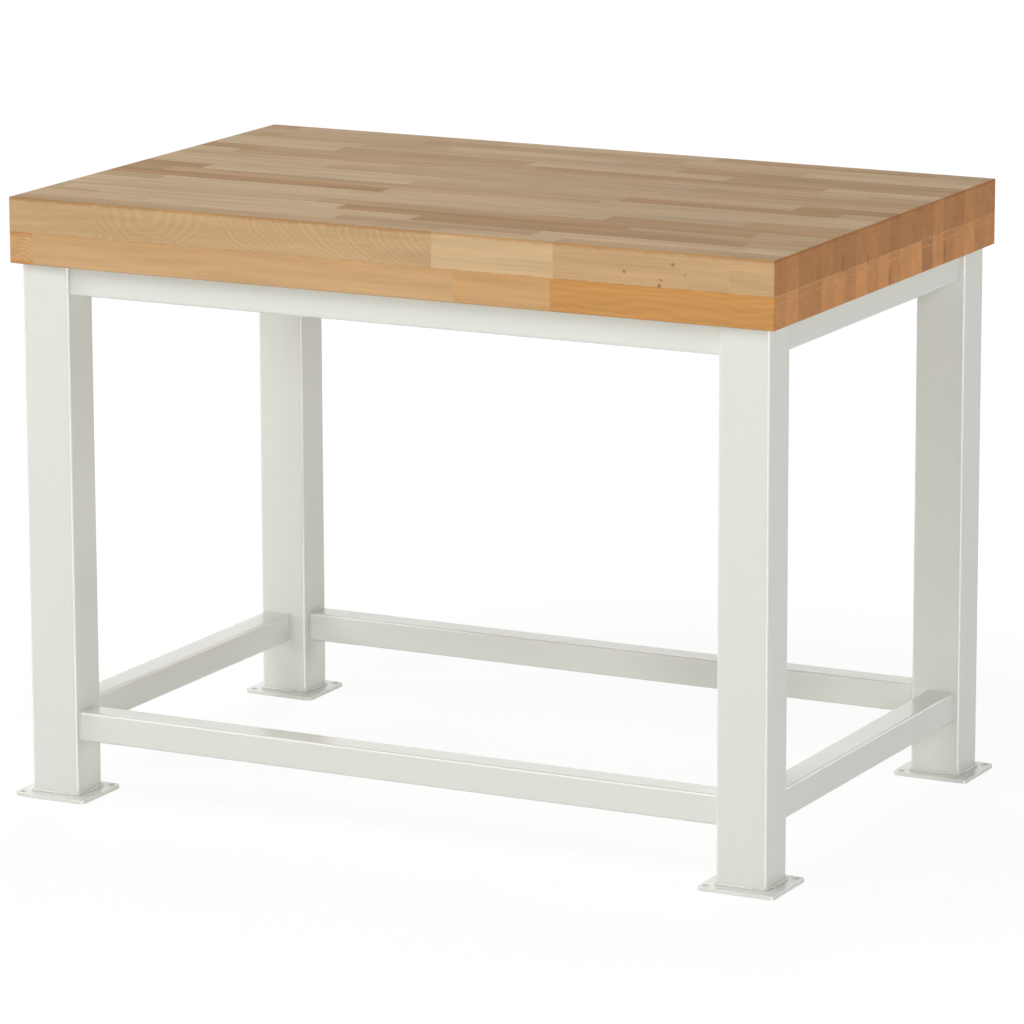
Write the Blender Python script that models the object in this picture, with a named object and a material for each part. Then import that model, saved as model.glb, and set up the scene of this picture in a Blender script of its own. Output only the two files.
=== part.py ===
"""Heavy-duty workbench: a laminated beech top, screwed down on a welded frame of steel tube.

Metres, +Z up. The origin is on the floor under the middle of the bench. +X runs along the
bench, and its front faces -Y.
"""

import math

import bmesh
import bpy

# Worktop: two glued layers, with one stave laid crosswise at the left end of the lower layer
TOP_LENGTH = 1.250
TOP_DEPTH = 0.800
TOP_THICKNESS = 0.100
LOWER_LAYER_THICKNESS = 0.048
END_STAVE_WIDTH = 0.040
TOP_CORNER_RADIUS = 0.003
TOP_ARRIS_RADIUS = 0.0015
TOP_OVERHANG = 0.0125
UNDERSIDE_HEIGHT = 0.820

# Legs: rectangular tube that stands on the floor plates and reaches up to the worktop
LEG_WIDTH = 0.080
LEG_DEPTH = 0.070
LEG_WALL = 0.003
LEG_CORNER_RADIUS = 0.005

# Rails: square tube, butted against the flat faces of the legs just inside their round corners
RAIL_WIDTH = 0.045
RAIL_HEIGHT = 0.045
RAIL_WALL = 0.0025
RAIL_CORNER_RADIUS = 0.004
RAIL_STEP = 0.003
LOWER_RAIL_TOP = 0.136

# Floor plates: two anchor holes each, at the front left and the back right corner
PLATE_MARGIN = 0.021
PLATE_THICKNESS = 0.006
PLATE_CORNER_RADIUS = 0.008
ANCHOR_HOLE_DIAMETER = 0.010
ANCHOR_EDGE_DISTANCE = 0.011

# Foot welds: a fillet round each leg that stays open at the leg's front right corner
WELD_SIZE = 0.005
WELD_OPEN_LENGTH = 0.018
WELD_BULGE = 0.58

# Wood screws with washers, set inside the long upper rails through access holes in their lower wall
SCREWS_PER_RAIL = 4
SCREW_END_DISTANCE = 0.110
SCREW_DIAMETER = 0.008
SCREW_TIP_DIAMETER = 0.002
SCREW_TIP_LENGTH = 0.008
SCREW_TIP_COVER = 0.008
HEAD_ACROSS_FLATS = 0.013
HEAD_HEIGHT = 0.0055
WASHER_DIAMETER = 0.017
WASHER_THICKNESS = 0.0016
SCREW_CLEARANCE = 0.0005
ACCESS_CLEARANCE = 0.0015

# Gap left between pieces that rest on each other
MOUNTING_PLAY = 0.0003

# Facets and turns of round shapes, and how far a cutter reaches past what it cuts
CORNER_STEPS = 4
ARRIS_STEPS = 2
ROUND_SIDES = 24
HEX_SIDES = 6
CUTTER_REACH = 0.004
MIN_INNER_RADIUS = 0.0005
SMOOTH_ANGLE = math.radians(35.0)
QUARTER_TURN = math.pi / 2.0
FULL_TURN = 2.0 * math.pi

# Finishes as linear colour, roughness and metallic value
BEECH_UPPER = ((0.51, 0.33, 0.20), 0.50, 0.0)
BEECH_LOWER = ((0.56, 0.35, 0.17), 0.50, 0.0)
BEECH_END_STAVE = ((0.45, 0.24, 0.11), 0.55, 0.0)
POWDER_COAT = ((0.66, 0.67, 0.62), 0.35, 0.0)
ZINC_PLATED_STEEL = ((0.60, 0.61, 0.62), 0.30, 1.0)

# Sizes that follow from those above
FRAME_LENGTH = TOP_LENGTH - 2.0 * TOP_OVERHANG
FRAME_DEPTH = TOP_DEPTH - 2.0 * TOP_OVERHANG
LEG_X = (FRAME_LENGTH - LEG_WIDTH) / 2.0
LEG_Y = (FRAME_DEPTH - LEG_DEPTH) / 2.0
LEG_FOOT = PLATE_THICKNESS + MOUNTING_PLAY
FRAME_TOP = UNDERSIDE_HEIGHT - MOUNTING_PLAY
RAIL_SETBACK = LEG_CORNER_RADIUS + RAIL_STEP
LONG_RAIL_LENGTH = FRAME_LENGTH - 2.0 * (LEG_WIDTH + MOUNTING_PLAY)
SIDE_RAIL_LENGTH = FRAME_DEPTH - 2.0 * (LEG_DEPTH + MOUNTING_PLAY)
LONG_RAIL_Y = FRAME_DEPTH / 2.0 - RAIL_SETBACK - RAIL_WIDTH / 2.0
SIDE_RAIL_X = FRAME_LENGTH / 2.0 - RAIL_SETBACK - RAIL_WIDTH / 2.0
UPPER_RAIL_BOTTOM = FRAME_TOP - RAIL_HEIGHT
GLUE_LINE = UNDERSIDE_HEIGHT + LOWER_LAYER_THICKNESS
WASHER_BOTTOM = FRAME_TOP - RAIL_WALL - MOUNTING_PLAY - WASHER_THICKNESS
SCREW_SEAT = WASHER_BOTTOM - MOUNTING_PLAY
SCREW_TIP = GLUE_LINE - SCREW_TIP_COVER
SCREW_HOLE_RADIUS = SCREW_DIAMETER / 2.0 + SCREW_CLEARANCE
ACCESS_HOLE_RADIUS = WASHER_DIAMETER / 2.0 + ACCESS_CLEARANCE
PILOT_HOLE_RADIUS = SCREW_DIAMETER / 2.0 + MOUNTING_PLAY

CORNERS = {
    "front_left": (-1.0, -1.0),
    "front_right": (1.0, -1.0),
    "back_left": (-1.0, 1.0),
    "back_right": (1.0, 1.0),
}


def clear_scene():
    """Remove every object that the file holds."""
    for item in list(bpy.data.objects):
        bpy.data.objects.remove(item, do_unlink=True)


def make_material(name, finish):
    """Make a plain surface from a linear colour, a roughness and a metallic value."""
    colour, roughness, metallic = finish
    material = bpy.data.materials.new(name)
    material.use_nodes = True
    shader = material.node_tree.nodes["Principled BSDF"]
    shader.inputs["Base Color"].default_value = (*colour, 1.0)
    shader.inputs["Roughness"].default_value = roughness
    shader.inputs["Metallic"].default_value = metallic
    return material


def add_piece(name, mesh, material, parent, location=(0.0, 0.0, 0.0), rotation=(0.0, 0.0, 0.0)):
    """Place one mesh in the bench under its own name."""
    if material.name not in mesh.materials:
        mesh.materials.append(material)
    piece = bpy.data.objects.new(name, mesh)
    bpy.context.collection.objects.link(piece)
    piece.parent = parent
    piece.location = location
    piece.rotation_euler = rotation
    return piece


def add_cutter(name, meshes, parent):
    """Join cutting bodies in one object that isn't part of the bench itself."""
    joined = bmesh.new()
    for mesh in meshes:
        joined.from_mesh(mesh)
    outcome = bpy.data.meshes.new(name)
    joined.to_mesh(outcome)
    joined.free()
    cutter = bpy.data.objects.new(name, outcome)
    bpy.context.collection.objects.link(cutter)
    cutter.parent = parent
    cutter.hide_render = True
    cutter.display_type = "WIRE"
    return cutter


def cut(piece, cutter):
    """Take the cutter's shape out of a piece."""
    modifier = piece.modifiers.new("cut_" + cutter.name, "BOOLEAN")
    modifier.operation = "DIFFERENCE"
    modifier.solver = "EXACT"
    modifier.object = cutter


def skin(name, loops, ring=False):
    """Stretch faces over loops of equal length; a ring joins the last loop to the first."""
    shape = bmesh.new()
    rows = [[shape.verts.new(point) for point in loop] for loop in loops]
    count = len(loops[0])
    pairs = list(zip(rows, rows[1:]))
    if ring:
        pairs.append((rows[-1], rows[0]))
    for low, high in pairs:
        for index in range(count):
            after = (index + 1) % count
            shape.faces.new((low[index], low[after], high[after], high[index]))
    if not ring:
        shape.faces.new(list(reversed(rows[0])))
        shape.faces.new(rows[-1])
    bmesh.ops.recalc_face_normals(shape, faces=shape.faces)
    mesh = bpy.data.meshes.new(name)
    shape.to_mesh(mesh)
    shape.free()
    mesh.shade_smooth()
    mesh.set_sharp_from_angle(angle=SMOOTH_ANGLE)
    return mesh


def rectangle(low_x, high_x, low_y, high_y, radii, z):
    """Give a rectangle's outline, from its front left corner round; a radius of 0 keeps a sharp corner."""
    corners = (
        (low_x, low_y, 1.0, 1.0, 2),
        (high_x, low_y, -1.0, 1.0, 3),
        (high_x, high_y, -1.0, -1.0, 0),
        (low_x, high_y, 1.0, -1.0, 1),
    )
    points = []
    for (x, y, inward_x, inward_y, quarter), radius in zip(corners, radii):
        steps = CORNER_STEPS if radius > 0.0 else 0
        for step in range(steps + 1):
            angle = QUARTER_TURN * (quarter + step / CORNER_STEPS)
            points.append((
                x + radius * (inward_x + math.cos(angle)),
                y + radius * (inward_y + math.sin(angle)),
                z,
            ))
    return points


def centred_rectangle(width, depth, radius, z):
    """Give a rounded rectangle's outline about the origin."""
    return rectangle(-width / 2.0, width / 2.0, -depth / 2.0, depth / 2.0, (radius,) * 4, z)


def circle(radius, z, x=0.0, y=0.0):
    """Give a circle's outline."""
    turns = [FULL_TURN * side / ROUND_SIDES for side in range(ROUND_SIDES)]
    return [(x + radius * math.cos(turn), y + radius * math.sin(turn), z) for turn in turns]


def hexagon(across_flats, z):
    """Give a hexagon's outline with as many points as a circle has."""
    points = []
    sector = FULL_TURN / HEX_SIDES
    for side in range(ROUND_SIDES):
        turn = FULL_TURN * side / ROUND_SIDES
        radius = across_flats / 2.0 / math.cos(turn % sector - sector / 2.0)
        points.append((radius * math.cos(turn), radius * math.sin(turn), z))
    return points


def rod(name, radius, low, high, x=0.0, y=0.0):
    """Make a plain upright cylinder."""
    return skin(name, [circle(radius, low, x, y), circle(radius, high, x, y)])


def tube(name, width, depth, length, wall, radius):
    """Make an open tube of rectangular section along +Z, from the origin up."""
    inner_radius = max(radius - wall, MIN_INNER_RADIUS)
    inner_width = width - 2.0 * wall
    inner_depth = depth - 2.0 * wall
    return skin(name, [
        centred_rectangle(width, depth, radius, 0.0),
        centred_rectangle(width, depth, radius, length),
        centred_rectangle(inner_width, inner_depth, inner_radius, length),
        centred_rectangle(inner_width, inner_depth, inner_radius, 0.0),
    ], ring=True)


def arris_steps():
    """Give the inset and the rise of each step round a broken edge, from its side to its flat."""
    turns = [QUARTER_TURN * step / ARRIS_STEPS for step in range(ARRIS_STEPS + 1)]
    return [(TOP_ARRIS_RADIUS * (1.0 - math.cos(turn)), TOP_ARRIS_RADIUS * math.sin(turn)) for turn in turns]


def upper_layer_mesh():
    """Make the worktop's upper layer, with a broken edge all round its surface."""
    half_length = TOP_LENGTH / 2.0
    half_depth = TOP_DEPTH / 2.0
    top = UNDERSIDE_HEIGHT + TOP_THICKNESS
    heights = [(0.0, GLUE_LINE + MOUNTING_PLAY)]
    heights += [(inset, top - TOP_ARRIS_RADIUS + rise) for inset, rise in arris_steps()]
    return skin("worktop_upper_layer", [
        rectangle(
            inset - half_length, half_length - inset, inset - half_depth, half_depth - inset,
            (TOP_CORNER_RADIUS,) * 4, height,
        )
        for inset, height in heights
    ])


def lower_layer_mesh(name, low_x, high_x, left_end):
    """Make a part of the lower layer, with a broken lower edge except where it meets the other part."""
    half_depth = TOP_DEPTH / 2.0
    left_radius = TOP_CORNER_RADIUS if left_end else 0.0
    right_radius = 0.0 if left_end else TOP_CORNER_RADIUS
    radii = (left_radius, right_radius, right_radius, left_radius)
    heights = [(inset, UNDERSIDE_HEIGHT + TOP_ARRIS_RADIUS - rise) for inset, rise in reversed(arris_steps())]
    heights.append((0.0, GLUE_LINE))
    loops = []
    for inset, height in heights:
        left = low_x + inset if left_end else low_x
        right = high_x if left_end else high_x - inset
        loops.append(rectangle(left, right, inset - half_depth, half_depth - inset, radii, height))
    return skin(name, loops)


def weld_path():
    """Give the points of a leg's outline that are welded, each with its outward direction."""
    half_width = LEG_WIDTH / 2.0
    half_depth = LEG_DEPTH / 2.0
    inner_x = half_width - LEG_CORNER_RADIUS
    inner_y = half_depth - LEG_CORNER_RADIUS
    path = [(half_width - WELD_OPEN_LENGTH, -half_depth, 0.0, -1.0)]
    arcs = ((-inner_x, -inner_y, 3), (-inner_x, inner_y, 2), (inner_x, inner_y, 1))
    for x, y, quarter in arcs:
        for step in range(CORNER_STEPS + 1):
            angle = QUARTER_TURN * (quarter - step / CORNER_STEPS)
            out_x = math.cos(angle)
            out_y = math.sin(angle)
            path.append((x + LEG_CORNER_RADIUS * out_x, y + LEG_CORNER_RADIUS * out_y, out_x, out_y))
    path.append((half_width, WELD_OPEN_LENGTH - half_depth, 1.0, 0.0))
    return path


def foot_weld_mesh():
    """Make the fillet weld between a leg and its floor plate, from the plate's surface up."""
    section = ((0.0, 0.0), (1.0, 0.0), (WELD_BULGE, WELD_BULGE), (0.0, 1.0))
    loops = []
    for x, y, out_x, out_y in weld_path():
        loops.append([
            (
                x + out_x * (MOUNTING_PLAY + out * WELD_SIZE),
                y + out_y * (MOUNTING_PLAY + out * WELD_SIZE),
                MOUNTING_PLAY + up * WELD_SIZE,
            )
            for out, up in section
        ])
    return skin("foot_weld", loops)


def screw_mesh():
    """Make a hexagon head wood screw that points up, with its origin under the head."""
    length = SCREW_TIP - SCREW_SEAT
    return skin("top_screw", [
        hexagon(HEAD_ACROSS_FLATS, -HEAD_HEIGHT),
        hexagon(HEAD_ACROSS_FLATS, 0.0),
        circle(SCREW_DIAMETER / 2.0, 0.0),
        circle(SCREW_DIAMETER / 2.0, length - SCREW_TIP_LENGTH),
        circle(SCREW_TIP_DIAMETER / 2.0, length),
    ])


def washer_mesh():
    """Make a flat washer, from the origin up."""
    return skin("screw_washer", [
        circle(WASHER_DIAMETER / 2.0, 0.0),
        circle(WASHER_DIAMETER / 2.0, WASHER_THICKNESS),
        circle(SCREW_HOLE_RADIUS, WASHER_THICKNESS),
        circle(SCREW_HOLE_RADIUS, 0.0),
    ], ring=True)


def screw_places():
    """Give each screw's name, x and y, along the front and the back rail."""
    reach = LONG_RAIL_LENGTH / 2.0 - SCREW_END_DISTANCE
    spacing = 2.0 * reach / (SCREWS_PER_RAIL - 1)
    places = []
    for side, y in (("front", -LONG_RAIL_Y), ("back", LONG_RAIL_Y)):
        for index in range(SCREWS_PER_RAIL):
            places.append((f"{side}_{index + 1}", index * spacing - reach, y))
    return places


def add_holes(name, radius, low, high, bench):
    """Make the cutter for one hole at each screw, from one height to another."""
    return add_cutter(name, [
        rod("screw_axis", radius, low, high, x, y)
        for _, x, y in screw_places()
    ], bench)


def build_worktop(bench, pilot_holes):
    """Build the worktop's two layers and the stave across its left end."""
    half_length = TOP_LENGTH / 2.0
    joint = END_STAVE_WIDTH - half_length
    add_piece("worktop_upper_layer", upper_layer_mesh(), make_material("beech_upper", BEECH_UPPER), bench)
    lower = add_piece(
        "worktop_lower_layer",
        lower_layer_mesh("worktop_lower_layer", joint + MOUNTING_PLAY, half_length, left_end=False),
        make_material("beech_lower", BEECH_LOWER), bench,
    )
    cut(lower, pilot_holes)
    add_piece(
        "worktop_end_stave",
        lower_layer_mesh("worktop_end_stave", -half_length, joint, left_end=True),
        make_material("beech_end_stave", BEECH_END_STAVE), bench,
    )


def build_legs(bench, paint):
    """Build four legs with their floor plates and foot welds."""
    plate_width = LEG_WIDTH + 2.0 * PLATE_MARGIN
    plate_depth = LEG_DEPTH + 2.0 * PLATE_MARGIN
    hole_x = plate_width / 2.0 - ANCHOR_EDGE_DISTANCE
    hole_y = plate_depth / 2.0 - ANCHOR_EDGE_DISTANCE
    leg = tube("leg", LEG_WIDTH, LEG_DEPTH, FRAME_TOP - LEG_FOOT, LEG_WALL, LEG_CORNER_RADIUS)
    weld = foot_weld_mesh()
    plate = skin("floor_plate", [
        centred_rectangle(plate_width, plate_depth, PLATE_CORNER_RADIUS, height)
        for height in (0.0, PLATE_THICKNESS)
    ])
    places = {corner: (side * LEG_X, end * LEG_Y) for corner, (side, end) in CORNERS.items()}
    anchor_holes = add_cutter("anchor_holes", [
        rod(
            "anchor_hole", ANCHOR_HOLE_DIAMETER / 2.0, -CUTTER_REACH, PLATE_THICKNESS + CUTTER_REACH,
            x + diagonal * hole_x, y + diagonal * hole_y,
        )
        for x, y in places.values()
        for diagonal in (-1.0, 1.0)
    ], bench)
    for corner, (x, y) in places.items():
        add_piece("leg_" + corner, leg, paint, bench, (x, y, LEG_FOOT))
        add_piece("foot_weld_" + corner, weld, paint, bench, (x, y, PLATE_THICKNESS))
        cut(add_piece("floor_plate_" + corner, plate, paint, bench, (x, y, 0.0)), anchor_holes)


def build_rails(bench, paint, rail_holes):
    """Build the upper and the lower ring of rails; the long upper ones are drilled for the screws."""
    long_rail = tube("long_rail", RAIL_HEIGHT, RAIL_WIDTH, LONG_RAIL_LENGTH, RAIL_WALL, RAIL_CORNER_RADIUS)
    side_rail = tube("side_rail", RAIL_HEIGHT, RAIL_WIDTH, SIDE_RAIL_LENGTH, RAIL_WALL, RAIL_CORNER_RADIUS)
    along = (0.0, QUARTER_TURN, 0.0)
    across = (0.0, QUARTER_TURN, QUARTER_TURN)
    for level, top in (("upper", FRAME_TOP), ("lower", LOWER_RAIL_TOP)):
        middle = top - RAIL_HEIGHT / 2.0
        for side, y in (("front", -LONG_RAIL_Y), ("back", LONG_RAIL_Y)):
            start = (-LONG_RAIL_LENGTH / 2.0, y, middle)
            rail = add_piece(f"{level}_rail_{side}", long_rail, paint, bench, start, along)
            if level == "upper":
                for holes in rail_holes:
                    cut(rail, holes)
        for side, x in (("left", -SIDE_RAIL_X), ("right", SIDE_RAIL_X)):
            start = (x, -SIDE_RAIL_LENGTH / 2.0, middle)
            add_piece(f"{level}_rail_{side}", side_rail, paint, bench, start, across)


def build_screws(bench):
    """Build the screws that hold the worktop, each with its washer under the rail's upper wall."""
    zinc = make_material("zinc_plated_steel", ZINC_PLATED_STEEL)
    screw = screw_mesh()
    washer = washer_mesh()
    for place, x, y in screw_places():
        add_piece("top_screw_" + place, screw, zinc, bench, (x, y, SCREW_SEAT))
        add_piece("screw_washer_" + place, washer, zinc, bench, (x, y, WASHER_BOTTOM))


def main():
    """Build the whole bench."""
    clear_scene()
    bench = bpy.data.objects.new("workbench", None)
    bpy.context.collection.objects.link(bench)
    paint = make_material("light_grey_powder_coat", POWDER_COAT)
    screw_holes = add_holes(
        "screw_holes", SCREW_HOLE_RADIUS,
        FRAME_TOP - RAIL_WALL - CUTTER_REACH, FRAME_TOP + CUTTER_REACH, bench,
    )
    access_holes = add_holes(
        "access_holes", ACCESS_HOLE_RADIUS,
        UPPER_RAIL_BOTTOM - CUTTER_REACH, UPPER_RAIL_BOTTOM + RAIL_WALL + CUTTER_REACH, bench,
    )
    pilot_holes = add_holes(
        "pilot_holes", PILOT_HOLE_RADIUS,
        UNDERSIDE_HEIGHT - CUTTER_REACH, SCREW_TIP + MOUNTING_PLAY, bench,
    )
    build_worktop(bench, pilot_holes)
    build_legs(bench, paint)
    build_rails(bench, paint, (screw_holes, access_holes))
    build_screws(bench)


main()
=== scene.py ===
"""Looks of a heavy-duty workbench: beech staves, powder-coated tube, painted welds and a white studio.

Laid out as a Blender add-on and run as a script. Metres, +Z up. The bench's front faces -Y.
"""

import math
from functools import partial

import bmesh
import bpy
from bpy.props import FloatProperty, FloatVectorProperty, IntProperty, PointerProperty
from mathutils import Matrix, Vector


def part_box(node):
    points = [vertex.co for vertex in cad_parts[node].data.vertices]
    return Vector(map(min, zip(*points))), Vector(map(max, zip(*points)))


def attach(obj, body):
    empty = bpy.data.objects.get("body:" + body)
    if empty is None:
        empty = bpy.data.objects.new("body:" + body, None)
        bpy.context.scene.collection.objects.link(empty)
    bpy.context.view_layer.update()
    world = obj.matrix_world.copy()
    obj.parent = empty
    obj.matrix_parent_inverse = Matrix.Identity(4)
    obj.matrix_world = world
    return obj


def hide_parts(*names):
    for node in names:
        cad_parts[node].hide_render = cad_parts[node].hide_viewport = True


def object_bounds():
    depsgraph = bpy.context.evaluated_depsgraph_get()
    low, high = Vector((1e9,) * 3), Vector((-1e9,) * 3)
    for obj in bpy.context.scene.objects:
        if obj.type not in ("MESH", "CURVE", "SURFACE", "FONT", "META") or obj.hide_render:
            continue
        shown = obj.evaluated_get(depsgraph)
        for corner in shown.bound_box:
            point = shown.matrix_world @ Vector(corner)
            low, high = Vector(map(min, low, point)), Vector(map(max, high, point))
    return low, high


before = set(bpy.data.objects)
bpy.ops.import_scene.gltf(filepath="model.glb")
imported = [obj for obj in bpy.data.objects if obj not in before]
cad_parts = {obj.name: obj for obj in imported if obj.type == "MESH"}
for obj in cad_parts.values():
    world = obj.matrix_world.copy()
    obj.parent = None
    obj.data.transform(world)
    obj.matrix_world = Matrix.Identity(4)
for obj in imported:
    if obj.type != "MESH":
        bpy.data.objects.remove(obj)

bl_info = {
    "name": "Heavy-duty workbench",
    "version": (1, 0, 0),
    "blender": (4, 5, 0),
    "location": "View3D > Sidebar > Workbench",
    "description": "Builds a workbench with a laminated beech top on a welded steel frame",
    "category": "Mesh",
}

CAD_BOX = [list(corner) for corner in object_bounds()]
BODY = "root"
IMAGE_SIZE = 1024
FULL_TURN = 2.0 * math.pi
QUARTER_TURN = math.pi / 2.0

CORNERS = ("front_left", "front_right", "back_left", "back_right")
LONG_SIDES = ("front", "back")
SIDES = (*LONG_SIDES, "left", "right")
LEVELS = ("upper", "lower")
SCREW_NUMBERS = (1, 2, 3, 4)
SCREWS = [f"{side}_{number}" for side in LONG_SIDES for number in SCREW_NUMBERS]
COAT = "light_grey_powder_coat"

# Facets and tolerances of the meshes
CORNER_STEPS = 7
ROUND_SIDES = 32
SHARP_ANGLE = math.radians(35.0)
MERGE_DISTANCE = 1e-6
EDGE_TOLERANCE = 1e-4

# Kinds of nodes that come up often; a range takes its value, from min and max, then to min and max
ATTRIBUTE = "ShaderNodeAttribute"
BACKGROUND = "ShaderNodeBackground"
CIRCLE = "GeometryNodeCurvePrimitiveCircle"
COMBINE = "ShaderNodeCombineXYZ"
COORDINATES = "ShaderNodeTexCoord"
CYLINDER = "GeometryNodeMeshCylinder"
FILLET = "GeometryNodeFilletCurve"
INSTANCE = "GeometryNodeInstanceOnPoints"
JOIN = "GeometryNodeJoinGeometry"
MATH = "ShaderNodeMath"
MIX = "ShaderNodeMix"
MIX_SHADER = "ShaderNodeMixShader"
MOVE = "GeometryNodeTransform"
NOISE = "ShaderNodeTexNoise"
RANDOM = "FunctionNodeRandomValue"
RANGE = "ShaderNodeMapRange"
RECTANGLE = "GeometryNodeCurvePrimitiveQuadrilateral"
SPLIT = "ShaderNodeSeparateXYZ"
STORE = "GeometryNodeStoreNamedAttribute"
SWEEP = "GeometryNodeCurveToMesh"
SWITCH = "GeometryNodeSwitch"
VECTOR = "ShaderNodeVectorMath"

# Sockets whose names repeat on their node, of mix, random, trim and compare nodes
FACTOR, FLOAT_A, FLOAT_B, COLOUR_A, COLOUR_B = 0, 2, 3, 6, 7
LEAST_VECTOR, MOST_VECTOR, LEAST, MOST = 0, 1, 2, 3
TRIM_FROM, TRIM_TO = 4, 5
WHOLE_A, WHOLE_B = 2, 3

WHITE = (1.0, 1.0, 1.0, 1.0)
HALVES = (0.5, 0.5, 0.5)

# Noises of the grain: repeats per metre along and across a stave, and detail. Fibres are about 2 mm wide,
# drawn coarser than real ones so that they show
GRAIN = {
    "slow": ((1.8, 9.0, 9.0), 2.0),
    "curl": ((11.0, 17.0, 17.0), 1.0),
    "fibre": ((7.0, 430.0, 430.0), 3.0),
    "fleck": ((160.0, 950.0, 950.0), 0.0),
    "cloud": ((4.0, 60.0, 60.0), 3.0),
}

# How far growth and figure bend the grain in metres, and how strongly its parts lighten and darken it
GROWTH_SWAY = 0.035
FIGURE_SWAY = 0.06
FRAYING = 0.006
FIGURE_DEPTH = 0.040
FIBRE_DEPTH = 0.32
CLOUD_DEPTH = 0.8
FLECK_DEPTH = -0.07

# Figure at the front's branch: spacing and rise of the barbs, spacing, bundles and sag of the hooks
BARB_SPACING = 0.018
BARB_RISE = -0.25
HOOK_SPACING = 0.013
HOOK_BUNDLE = 0.052
HOOK_SAG = -22.0

# Tints of wood that oil soaked into
EDGE_OIL = (0.88, 0.72, 0.52)
BAND_OIL = (0.84, 0.68, 0.50)
GLUE_WARMTH = (0.95, 0.86, 0.72)
SEAM_TINT = (0.84, 0.76, 0.68)
CROSS_EDGE_OIL = (0.90, 0.74, 0.56)

# Pin knots in the front and dark pith marks in the right end, as places along the face, heights and
# radii, and how much each kind is drawn out upwards and how dark it is
PIN_KNOTS = (
    (0.468, 0.902, 0.0040), (0.392, 0.887, 0.0034), (0.447, 0.870, 0.0044), (0.487, 0.889, 0.0024),
    (0.450, 0.879, 0.0028),
)
PITH_MARKS = (
    (-0.166, 0.880, 0.0070), (-0.078, 0.872, 0.0050), (0.002, 0.831, 0.0075), (0.206, 0.838, 0.0070),
)
KNOT_LOOK = (1.0, 0.75)
PITH_LOOK = (0.35, 0.45)

# Draws for the staves: length and tone between two limits, most figure inside, and numbers that keep the
# rows' and the front's staves apart
LENGTH_DRAW = (0.7, 1.4)
TONE_DRAW = (-0.15, 1.0)
FAINT_FIGURE = 0.15
ROW_NUMBERS = 97.0
FRONT_NUMBERS = 5000.0
SAME_NUMBER = 0.1

# The staves that the photograph shows: joints along the front, then from left to right the tones from
# pale to dark and the warmth, then three tones in rows at the right end
NO_JOINT = 9.0
UPPER_STAVES = {
    "Joints": (0.085, 0.280, 0.555), "Front Tones": (0.47, 0.21, 0.40), "Front Warmth": (0.0, 0.05, 0.14),
    "Warmth": 0.15, "Figured Stave": 0.0, "Figure": 1.0, "End Row": 13.0, "End Tones": (0.55, -0.20, 0.50),
}
LOWER_STAVES = {
    "Joints": (0.120, 0.275, NO_JOINT), "Front Tones": (0.26, 0.20, 0.46), "Front Warmth": (0.30, 0.50, 0.85),
    "Warmth": 0.8, "Figured Stave": 2.0, "Figure": 0.45, "End Row": 13.0, "End Tones": (1.30, 0.30, 0.85),
}
CROSS_STAVE = {
    "Joints": (NO_JOINT,) * 3, "Front Tones": (0.45,) * 3, "Front Warmth": (0.40,) * 3, "Warmth": 0.5,
    "Figured Stave": NO_JOINT, "Figure": 0.0, "End Row": -9.0, "Pith By Row": 0.0,
}
LOWER_SEED = 20
PITH_ALONG = 5.0
CROSS_PITH = 0.015

# Weld beads: how deep they sink in, their crown as a share of the bead, and the size of a thinned end
WELD_SINK = 0.0004
WELD_CROWN = 0.58
WELD_SOFTNESS = 0.9
THINNED_END = 0.45

# Wood screws: sizes in metres, the head's chamfer and the core as shares, and the blunt point's radius
SCREW_SIZES = {
    "Head Width": 0.013, "Head Height": 0.0055, "Diameter": 0.008, "Tip Length": 0.008,
    "Thread Length": 0.030, "Pitch": 0.0035,
}
WASHER_BORE = 0.0086
WASHER_EDGE = 0.0002
CHAMFER_FACE = 0.475
CHAMFER_SLOPE = 1.75
CORE_SHARE = 0.38
POINT_RADIUS = 0.0004

# Lamps: turn from the front and lift in degrees, width in metres, and whether gloss mirrors them
LAMPS = {
    "high_softbox": (-20.0, 44.0, 3.0, False),
    "front_softbox": (30.0, 12.0, 1.6, False),
    "left_softbox": (-75.0, 12.0, 1.6, False),
    "right_softbox": (110.0, 8.0, 1.6, False),
    "back_softbox": (205.0, 15.0, 1.6, False),
    "lit_backdrop": (207.0, 11.0, 3.5, True),
}
LAMP_TARGET = Vector((0.0, 0.0, 0.5))
LAMP_DISTANCE = 6.0

# What edges mirror: a strip by its turn and half widths, and patches by direction and fading cosines
STRIP_TURN = math.radians(45.0)
STRIP_FADE = (math.radians(16.0), math.radians(22.0))
LEVEL_PATCH = ((-0.45, -0.55, 0.70), 0.84, 0.94)
RAIL_PATCH = ((0.25, 0.86, 0.44), 0.982, 0.990)

# Paper: half its width, its gap under the feet, its brightness, and where its shadow fades out
PAPER_REACH = 40.0
PAPER_GAP = 0.0005
PAPER_GLOW = 1.03
SHADOW_FADE = (0.9, 1.8)


def linear(code):
    """Turn an sRGB hex colour into linear red, green and blue."""
    levels = [int(code[start:start + 2], 16) / 255.0 for start in (1, 3, 5)]
    return tuple(c / 12.92 if c <= 0.04045 else ((c + 0.055) / 1.055) ** 2.4 for c in levels)


def colour_property(name, description, code):
    """Give a colour that a user can change, with its default as sRGB hex."""
    return FloatVectorProperty(
        name=name, description=description, subtype="COLOR", size=3, min=0.0, max=1.0, default=linear(code),
    )


def place_property(name, description, default):
    """Give a place that a user can change, in metres."""
    return FloatVectorProperty(
        name=name, description=description, subtype="TRANSLATION", unit="LENGTH", size=3, default=default,
    )


def number_property(name, description, default, **kind):
    """Give a number that a user can change."""
    return FloatProperty(name=name, description=description, default=default, **kind)


def length_property(name, description, default):
    """Give a length that a user can change, in metres."""
    return number_property(name, description, default, unit="LENGTH", precision=4)


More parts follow.
